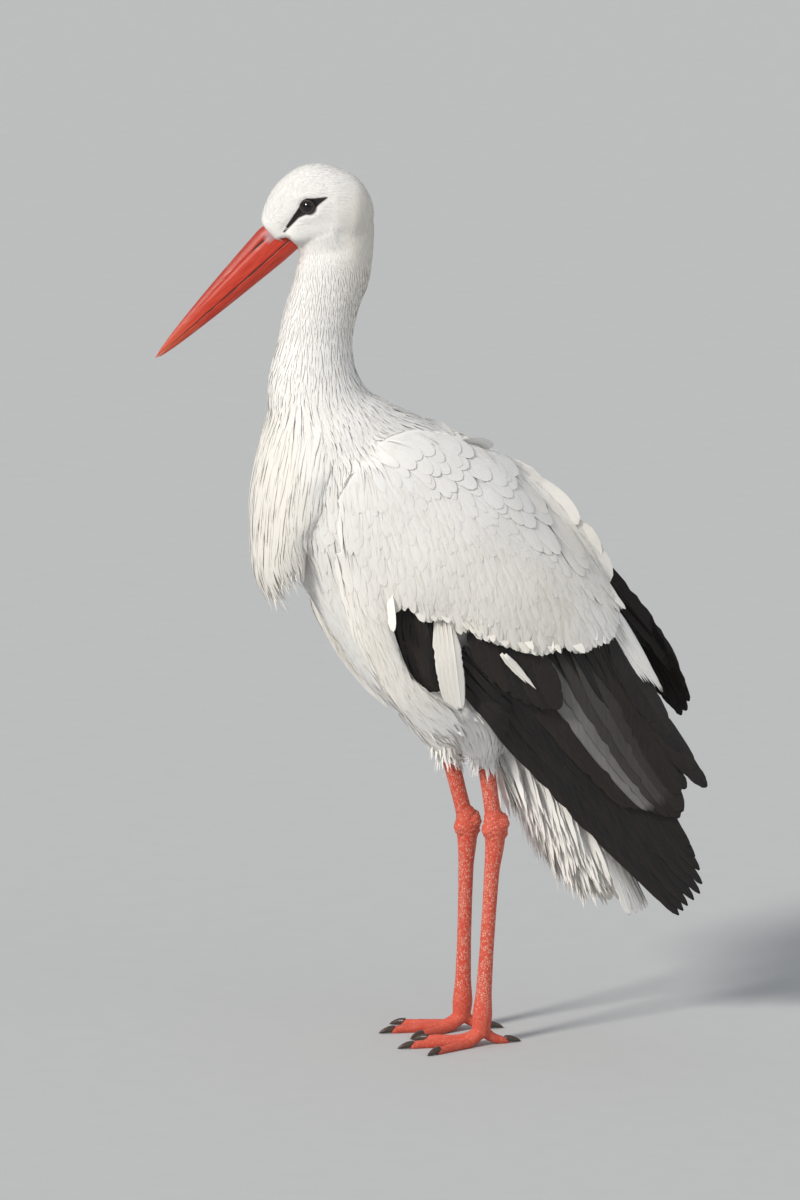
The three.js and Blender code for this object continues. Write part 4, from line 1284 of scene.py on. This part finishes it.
def make_fan(name, side, replaced, material, half, outline=BLUNT, silver=None, splits=0.2, gap=3.0, ragged=0.10,
             steps=30, brown=1.0, **detail):
    """A fan of flight feathers, or of the small ones over them, with its silver and brown."""
    lines, normals = fan(side, **detail)
    lines = clear_of_trunk(lines, side, gap)
    count, broad = len(lines), half > 6
    widths = half * rng.uniform(0.9, 1.08, count)
    columns, along = FLIGHT_VANE if broad else VANE, to_tip(steps, 1.25)
    piece = vanes(name, material, lines, normals, root_uv_of(lines[:, 0]), widths, outline, 0.6, along, columns,
                  replaced, camber=0.10, ragged=ragged, keel=0.9 if broad else 0.5, splits=splits,
                  roll=np.full(count, 0.07 * side), shaft=0.9 if broad else 0.2)
    corners = len(columns) + 1
    amount = np.zeros((count, steps, corners))
    if silver is not None:
        across = np.tile(np.append(columns, 0.0), count * steps).reshape(amount.shape) * side
        share = along[None, :, None]
        weight, start, end = (np.array(column)[:, None, None] for column in zip(*silver))
        amount = weight * ease(0.04, 0.10, across) * ease(start, start + 0.05, share)
        amount = amount * ease(end + 0.01, end - 0.03, share)
    set_points(piece, "grey", amount.ravel())
    set_points(piece, "brown", brown * np.repeat(rng.random(count), steps * corners))


for side_name, side in SIDES.items():
    for label, detail in {**FLIGHT[side_name], **OVER_FLIGHT}.items():
        stood_for = f"wing_{side_name}_{label.split('_')[0]}"
        make_fan(f"{side_name}_{label}", side, [stood_for] if stood_for in nodes else [],
                 **{"material": BLACK_COAT, **detail})


def hanging_plumes(name, roots, normals, uv, ways, lengths, half, sag=0.12):
    """Loose plumes that leave the skin along their ways and sag towards their tips."""
    steps = 8
    t = np.linspace(0, 1, steps)[None, :, None]
    ways = unit(ways - normals * np.minimum(0, (ways * normals).sum(1, keepdims=True)) + 0.12 * normals)
    lines = roots[:, None] + (ways[:, None] * t - AXIS_Z * sag * t**2) * lengths[:, None, None]
    facing = np.repeat(normals[:, None], steps, 1)
    vanes(name, WHITE_PLUMES, lines, facing, uv, half, SLENDER, rng.uniform(0.3, 1.6, len(roots)), to_tip(9, 1.2),
          PLUME, camber=0.10, ragged=0.35, base=-0.6, roll=0.1, splits=0.4, soft=0.85)


VENT_START, VENT_END, VENT_TOP, VENT_HALF_WIDTH = 14, 140, 312, 40
VENT_PLUMES = 0.075  # in each square millimetre


def make_vent():
    """White plumes under the tail, between the legs and its tip."""
    x, y, z = surface.mean(surface.points).T
    facing = surface.mean(surface.normals)
    inside = (x > VENT_START) & (x < VENT_END) & (z < VENT_TOP) & (np.abs(y) < VENT_HALF_WIDTH)
    under = facing @ np.array([-0.72, 0, -0.69])
    places, uv, pick = surface.sample(np.where(inside & (under > -0.1), VENT_PLUMES, 0))
    normals, count = unit(facing[pick]), len(places)
    ways = unit(np.stack([np.full(count, 0.42), 0.05 * rng.normal(0, 1, count), np.full(count, -0.9)], 1)
                + 0.08 * rng.normal(0, 1, places.shape))
    lengths = rng.uniform(38, 62, count) * (1 - 0.25 * ease(230, 180, places[:, 2]))
    x, y, z = (places + ways * (0.5 * lengths)[:, None]).T
    seen = (z < 341 - 0.95 * (x + 27)) | (np.abs(y) < 12)
    hanging_plumes("vent_plumes", places[seen], normals[seen], uv[seen], ways[seen], lengths[seen],
                   rng.uniform(2.6, 4.6, int(seen.sum())))


def make_thigh_fringe():
    """Feathers that end in a ragged edge over the top of each bare shank."""
    count = 110
    for name, leg in LEGS.items():
        end, ankle = np.array(leg["thigh_end"], float), np.array(leg["ankle"], float)
        down = unit(ankle - end)
        turn = rng.uniform(0, 2 * math.pi, count)
        start = rng.uniform(-26, -6, count)
        out = ring(AXIS_X, AXIS_Y, turn)
        places = end + down * start[:, None] + out * (9.5 - 0.22 * start)[:, None]
        ways = unit(down + out * -0.10)
        hanging_plumes(f"{name}_thigh_plumes", places, out, root_uv_of(places), ways, rng.uniform(16, 27, count),
                       rng.uniform(1.3, 2.2, count), sag=0.0)


make_vent()
make_thigh_fringe()

TAIL_ROOT, TAIL_TIP = np.array([122.0, 0, 262]), np.array([184.0, 0, 128])


def make_tail():
    """Twelve white tail feathers, the outer ones drooping."""
    count = 12
    across = (np.arange(count) + 0.5) / count * 2 - 1
    down = unit(TAIL_TIP - TAIL_ROOT)
    length = np.linalg.norm(TAIL_TIP - TAIL_ROOT)
    under = np.array([down[2], 0, -down[0]])
    b = np.linspace(0, 1, 12)
    reach = b[None] * (1 - 0.08 * across[:, None] ** 2)
    droop = (6 + 22 * b[None]) * across[:, None] ** 2 + 0.7 * np.abs(across[:, None]) * 6
    lines = (
        TAIL_ROOT
        + down * (length * reach)[..., None]
        + AXIS_Y * (across[:, None] * (22 + 20 * b[None]))[..., None]
        + under * droop[..., None]
    )
    tilt = across[:, None, None] * (0.3 + 0.9 * b[None, :, None])
    normals = unit(-under * np.cos(tilt) + AXIS_Y * np.sin(tilt))
    vanes("tail_vanes", WHITE_PLUMES, lines, normals, root_uv_of(lines[:, 0]), np.full(count, 10.0), BLUNT, 0.5,
          to_tip(24, 1.3), FLIGHT_VANE, ["tail"], camber=0.08, ragged=0.12, keel=0.8, splits=0.3, shaft=0.6)


make_tail()

# ---- bill


def bill_half(name, depth, power, meets, length):
    """One half of the bill: arched outside, flat where it meets the other, with a groove along its side."""
    along = np.concatenate([np.linspace(-26, 0, 14)[:-1], np.linspace(0, 1, 90) ** 0.9 * length])
    left = np.maximum(0.0015, 1 - np.maximum(0, along) / length)
    height = np.abs(depth) * left**power
    half = BILL_HALF_WIDTH * left**0.75
    angle = np.linspace(0, math.pi, 45)
    up, side = np.sin(angle) ** 0.85, np.cos(angle)
    groove = bump(up - 0.62, 0.055) * (np.abs(side) > 0.3) if depth > 0 else bump(up - 0.55, 0.09) * 0.5
    slit = ease(-6, 0, along) * ease(14, 9, along)
    deep = 0.9 * ease(-10, 4, along) * ease(120, 50, along) + 1.3 * slit
    width = half[:, None] * side[None] * (1 - groove[None] * (deep / np.maximum(half, 1))[:, None])
    arch = meets + np.sign(depth) * height[:, None] * up[None]
    floor_side = np.linspace(-1, 1, 16)[1:-1]
    width = np.concatenate([width * (1 + 0.05 * ease(0.18, 0.0, up)), half[:, None] * floor_side[None] * 0.96], 1)
    arch = np.concatenate([arch, np.full((len(along), len(floor_side)), meets)], 1)
    forward = BILL_BASE[0] + along[:, None] * BILL_COS + arch * BILL_SIN
    upward = BILL_BASE[1] - along[:, None] * BILL_SIN + arch * BILL_COS
    rings = in_head(forward, upward, width)
    ridge = np.append(up, np.zeros(len(floor_side)))
    if depth > 0:
        rings, ridge = rings[:, ::-1], ridge[::-1]
    verts, faces = closed_net(rings)
    piece = mesh_from(f"{name}_horn", verts, faces)
    for key, values in zip(("along", "above"), on_bill(verts)):
        set_points(piece, key, values)
    set_points(piece, "ridge", np.append(np.tile(ridge, len(along)), [0, 0]))
    finish_piece(piece, "red_horn", BILL_HORN, name)


def bill_material():
    look = Look("bill_horn")
    along, above, ridge = look.read("along", "above", "ridge")
    place = look.place()
    fibres = look.vector(along * 0.05, above * 0.9).noise(1.0, 6.0, 0.65)
    blotch, fine = place.noise(60.0, 4.0, 0.6), place.noise(420.0)
    base = fibres.ramp(0.35, 0.68).mix((0.47, 0.022, 0.010), (0.58, 0.060, 0.024))
    dull = ridge.ramp(0.62, 0.95) * above.ramp(2.0, 6.0)
    base = (dull * 0.75).mix(base, (0.36, 0.045, 0.032))
    base = (along.ramp(80.0, 158.0) * 0.6).mix(base, (0.60, 0.115, 0.055))
    chalk = fibres.ramp(0.54, 0.66) * (ridge.ramp(0.45, 0.8) * along.ramp(12.0, 50.0))
    base = (chalk * 0.55).mix(base, (0.55, 0.34, 0.27))
    # stains along the line where the halves meet, and painted shade in the nostril slit
    gape = abs(above + fibres.scaled(3.0, -1.5)).ramp(1.5, 0.2)
    gape = gape * (along.ramp(150.0, 60.0) * blotch.ramp(0.30, 0.55))
    base = (gape * 0.85).mix(base, (0.07, 0.022, 0.014))
    # painted shade: a dark line where the nostril opens
    slit = abs(above + -16.6).ramp(1.5, 0.5) * (along.ramp(-1.5, 1.0) * along.ramp(26.0, 9.0))
    base = slit.mix(base, (0.035, 0.014, 0.012))
    pale = along.ramp(2.0, -5.0) * (above.ramp(9.0, 13.0) * above.ramp(23.0, 17.0))
    base = (pale * 0.8).mix(base, (0.38, 0.26, 0.28))
    return look.finish(base, fibres.scaled(0.35, 0.24), 0.45, (fibres + fine * 0.4, 0.35, 0.0008))


BILL_HORN = bill_material()
bill_half("bill_upper", depth=27.0, power=0.72, meets=0.25, length=BILL_LENGTH)
bill_half("bill_lower", depth=-12.5, power=0.55, meets=-0.25, length=BILL_LENGTH - 3)

# ---- eyes


def eye_axes(side):
    """The eye's centre, the way it looks, and the two ways across it."""
    look = unit(in_head(0.22, 0.06, side) - in_head(0, 0))
    ahead = unit(in_head(1, 0, 0) - in_head(0, 0))
    ahead = unit(ahead - look * (ahead @ look))
    return in_head(EYE_FORWARD, EYE_UP, side * EYE_SIDE), look, ahead, np.cross(look, ahead) * side


def eye_material():
    look = Look("eye_dark")
    centre = look.read("off_centre")
    iris = look.place().noise(900.0).mix((0.007, 0.004, 0.003), (0.020, 0.010, 0.006))
    base = centre.ramp(0.36, 0.42).mix((0.002, 0.002, 0.002), iris)
    base = centre.ramp(0.68, 0.80).mix(base, (0.004, 0.003, 0.003))
    return look.finish(base, 0.06, 0.35, Coat_Weight=0.35, Coat_Roughness=0.02)


def grained(name, scale, dark, light, roughness, bumps):
    """A plain horn or hide: two colours mixed by fine noise, which also raises it."""
    look = Look(name)
    grain = look.place().noise(scale, 4.0)
    return look.finish(grain.mix(dark, light), roughness, relief=(grain, bumps, 0.0004))


EYE_DARK = eye_material()
LID_SKIN = grained("eyelid", 1500.0, (0.006, 0.005, 0.005), (0.040, 0.032, 0.030), roughness=0.5, bumps=0.6)
EYE_AROUND, LID_AROUND = 64, 12

for side_name, side in SIDES.items():
    centre, look, ahead, over = eye_axes(side)
    polar = np.linspace(0.02, math.pi - 0.02, 48)
    turn = circle(EYE_AROUND)
    bulge = EYE_RADIUS * (1 + 0.035 * bump(polar, 0.45))
    across = ring(ahead, over, turn)
    rings = look * np.cos(polar)[:, None, None] + across * np.sin(polar)[:, None, None]
    ball = mesh_from(f"eyeball_{side_name}", *closed_net(centre + bulge[:, None, None] * rings))
    off = np.repeat(np.sin(polar) + 2.0 * (polar > math.pi / 2), EYE_AROUND)
    set_points(ball, "off_centre", np.append(off, [0, 3]))
    finish_piece(ball, "dark_eye", EYE_DARK, f"eye_{side_name}")
    # the lids: a rim that hugs the ball, drawn out towards the corners of the eye
    stretch = 0.80 + 0.09 * np.cos(2 * turn) + 0.05 * np.cos(turn)
    lid_centre = np.sin(stretch)[:, None] * across + look * np.cos(stretch)[:, None]
    lid_centre = centre + (EYE_RADIUS + 0.2) * lid_centre
    out = unit(lid_centre - centre)
    rim_way = unit(np.cross(unit(np.roll(lid_centre, -1, 0) - np.roll(lid_centre, 1, 0)), out))
    thick = 0.85 + 0.25 * np.abs(np.cos(turn)) ** 3
    rings = lid_centre[:, None] + thick[:, None, None] * ring(out * 0.8, rim_way * 1.3, circle(LID_AROUND))
    # a tube whose last ring joins its first
    quads = grid_tube(EYE_AROUND + 1, LID_AROUND) % (EYE_AROUND * LID_AROUND)
    lid = mesh_from(f"eyelid_{side_name}", rings.reshape(-1, 3), [quads[:, [0, 3, 2, 1]]])
    finish_piece(lid, "dark_eye", LID_SKIN)

# ---- legs

TOES = {
    "middle": dict(turn=0, reach=76, radius=6.3, joints=3),
    "inner": dict(turn=-29, reach=61, radius=5.8, joints=2),
    "outer": dict(turn=31, reach=66, radius=5.8, joints=4),
    "hind": dict(turn=186, reach=31, radius=5.0, joints=1),
}
TOE_JOINT_UP = 20.0
ANKLE_RADIUS, SHANK_RADIUS = 12.5, 7.2
LEG_VOXEL = 1.1
# The shank and the tarsus: shares of the way down and radii. The ankle's knobs: places and radii.
SHANK = [(-0.3, 3), (-0.2, 9), (0.2, 8.4), (0.6, 8), (1.0, 8.5)]
TARSUS = [
    (0.22, SHANK_RADIUS + 0.6), (0.42, SHANK_RADIUS), (0.62, SHANK_RADIUS), (0.82, SHANK_RADIUS + 0.8), (0.95, 10.2),
]
ANKLE_KNOBS = [
    (5.5, -3, 4, 8.8), (5.5, 3.5, 3, 8.6), (-5.5, -2, -3, 8.4), (-5, 3, -2, 8.0), (6, 0, -5, 7.6), (7.5, 0, 9, 6.0),
]
# A claw: how far past the toe, how high, and its radius.
CLAW = [(-7, 4.4, 1.2), (-5, 4.6, 3.4), (0, 4.2, 3.3), (4.4, 3.2, 2.6), (8.25, 2.0, 1.6), (11, 0.8, 0.4)]


def toe_place(leg, turn, reach, up):
    angle = math.radians(turn) * -leg["side"]
    foot_x, foot_y = leg["toes"]
    return foot_x - math.cos(angle) * reach, foot_y - math.sin(angle) * reach, up


def toe_body(leg, turn, reach, radius, joints):
    """A toe with a pad under each joint."""
    line = [(*toe_place(leg, turn, -2, 13), 2), (*toe_place(leg, turn, 3, 12.5), radius + 1.2)]
    for joint in range(joints + 1):
        at = 12 + (reach - 16) * joint / joints
        size = radius * (1 - 0.34 * joint / joints)
        line.append((*toe_place(leg, turn, at, size * 0.74 + (0 if joint else 3)), size))
        if joint < joints:
            gap = at + (reach - 16) / joints / 2
            line.append((*toe_place(leg, turn, gap, size * 0.78), size * 0.90))
    line.append((*toe_place(leg, turn, reach, 3.2), 1))
    return limb(line, along=90)


def leg_bodies(leg):
    end, ankle = np.array(leg["thigh_end"], float), np.array(leg["ankle"], float)
    foot = np.array([*leg["toes"], TOE_JOINT_UP], float)
    tibia = limb([(*(end + (ankle - end) * t), r) for t, r in SHANK])
    x, y, z = ankle
    tarsus = limb(
        [(x - 1, y, z + ANKLE_RADIUS + 6, 7), (x - 1, y, z + ANKLE_RADIUS + 1, 9.6), (x, y, z, ANKLE_RADIUS - 0.4),
         (x, y, z - ANKLE_RADIUS - 4, 9.8)]
        + [(*(ankle + (foot - ankle) * t), r) for t, r in TARSUS]
        + [(foot[0] - 1, foot[1], TOE_JOINT_UP - 9, 8.6), (foot[0] - 1, foot[1], TOE_JOINT_UP - 13, 3)],
        along=120,
    )
    knobs = [round_body((x + dx, y + dy, z + dz), r) for dx, dy, dz, r in ANKLE_KNOBS]
    return [tibia, tarsus, *knobs] + [toe_body(leg, **toe) for toe in TOES.values()]


def leg_material():
    look = Look("leg_scales")
    place = look.place()
    bent = place.noise(60.0, 2.0, output="Color")
    bent = bent.through("VectorMath", {0: bent, 1: (0.003, 0.003, 0.003)}, operation="MULTIPLY")
    moved = place.through("VectorMath", {0: place, 1: bent}, operation="ADD")
    stretched = moved.through("Mapping", {"Vector": moved, "Scale": (1.0, 1.0, 0.8)})
    cell = {"Vector": stretched, "Scale": 520.0}
    edge = moved.through("TexVoronoi", cell, feature="DISTANCE_TO_EDGE")
    tone = moved.through("SeparateXYZ", {0: moved.through("TexVoronoi", cell, "Color")})
    patches = place.noise(38.0, 3.0, 0.6)
    base = patches.mix((0.60, 0.050, 0.026), (0.66, 0.105, 0.060))
    base = (tone * 0.35).mix(base, (0.70, 0.20, 0.13))
    pale = edge.ramp(0.10, 0.24) * look.read("pale") * (tone + patches).ramp(0.62, 1.05)
    base = (pale * 0.6).mix(base, (0.74, 0.50, 0.40))
    rise = edge.ramp(0.0, 0.22) + place.noise(900.0) * 0.3
    return look.finish(base, 0.55, 0.35, (rise, 0.5, 0.0007))


LEG_SCALES = leg_material()
CLAW_HORN = grained("claw_horn", 500.0, (0.022, 0.013, 0.010), (0.10, 0.065, 0.05), roughness=0.38, bumps=0.3)

for leg_name, leg in LEGS.items():
    piece = voxel_union(f"leg_{leg_name}_skin", leg_bodies(leg), LEG_VOXEL)
    mesh = piece.data
    points = neighbour_mean(points_of(mesh), edge_array(mesh), 3)
    move_points(mesh, points)
    from_ankle = np.abs(points[:, 2] - leg["ankle"][2])
    bend = 2.2 * np.sin(points[:, 0] * 0.35) + 1.4 * np.sin(points[:, 1] * 0.5 + points[:, 2] * 0.13)
    wrinkle = np.sin(points[:, 2] * 1.15 + bend) * ease(22, 8, from_ankle)
    points = points + normals_of(mesh) * (0.32 * wrinkle)[:, None]
    points[:, 2] = np.maximum(points[:, 2], 0)
    move_points(mesh, points)
    near_ankle = ease(24, 10, np.abs(points[:, 2] - leg["ankle"][2]))
    shank = ease(20, 60, points[:, 2]) * (1 - 0.85 * near_ankle)
    set_points(piece, "pale", np.clip(0.15 + 0.85 * shank + ease(0.2, 0.9, -wrinkle) * 0.9, 0, 1))
    parts = ["tibia", "tarsus"] + [f"toe_{toe}" for toe in TOES]
    finish_piece(piece, "leg_skin", LEG_SCALES, *(f"leg_{leg_name}_{part}" for part in parts))
    for toe_name, toe in TOES.items():
        line = [(*toe_place(leg, toe["turn"], toe["reach"] + out, up), r) for out, up, r in CLAW]
        verts, faces = limb(line, around=20, along=30)
        verts[:, 2] = np.maximum(verts[:, 2], 0)
        claw = mesh_from(f"leg_{leg_name}_nail_{toe_name}", verts, faces)
        finish_piece(claw, "claw_horn", CLAW_HORN, f"leg_{leg_name}_claw_{toe_name}")

# ---- camera, light and floor


def place_item(name, data, place, target):
    """An object at a place, in metres, that looks at its target."""
    item = bpy.data.objects.new(name, data)
    bpy.context.collection.objects.link(item)
    item.location = place
    item.rotation_euler = (target - place).to_track_quat("-Z", "Y").to_euler()
    return item


def sun(name, place, power, angle, tint):
    made = bpy.data.lights.new(name, "SUN")
    made.energy, made.color, made.angle = power, tint, math.radians(angle)
    place_item(name, made, Vector(place), Vector((0, 0, 0.45)))


def make_floor():
    """A pale disc that curves up far behind the bird."""
    radii, heights = [3.0, 12.0, 34.0, 44.0, 50.0, 52.0], [0.0, 0.0, 0.0, 1.5, 6.0, 14.0]
    around = 96
    rings = [r * ring(AXIS_X, AXIS_Y, circle(around)) + h * AXIS_Z for r, h in zip(radii, heights)]
    verts = np.concatenate(rings + [np.zeros((1, 3))]) / MM + SHIFT
    centre = np.stack([np.roll(np.arange(around), -1), np.arange(around), np.full(around, len(verts) - 1)], 1)
    floor = mesh_from("studio_floor", verts, [grid_tube(len(rings), around), centre])
    look = Look("floor_paper")
    grain = look.place().noise(30.0, 4.0)
    floor.data.materials.append(look.finish(grain.mix((0.50, 0.505, 0.505), (0.53, 0.535, 0.535)), 0.9))
    return floor


target = Vector(to_frame(CAMERA_AIM))
flat = math.cos(CAMERA_RISE)
back = Vector((math.sin(CAMERA_TURN) * flat, -math.cos(CAMERA_TURN) * flat, math.sin(CAMERA_RISE)))
lens = bpy.data.cameras.new("camera")
lens.sensor_fit, lens.sensor_height = "VERTICAL", 36.0
lens.lens = lens.sensor_height * CAMERA_DISTANCE / VIEW_HEIGHT
lens.clip_end = 200.0
bpy.context.scene.camera = place_item("camera", lens, target + back * CAMERA_DISTANCE, target)
sun("key", (-3.7, -2.3, 3.3), power=2.8, angle=12, tint=(1.0, 0.965, 0.91))
sun("fill", (3.0, -3.4, 2.0), power=0.35, angle=50, tint=(0.93, 0.96, 1.0))
world = bpy.data.worlds.new("studio")
bpy.context.scene.world = world
world.use_nodes = True
for socket, value in zip(world.node_tree.nodes["Background"].inputs, ((0.88, 0.92, 0.98, 1), 0.5)):
    socket.default_value = value
make_floor()
bpy.context.scene.view_settings.view_transform = "Standard"
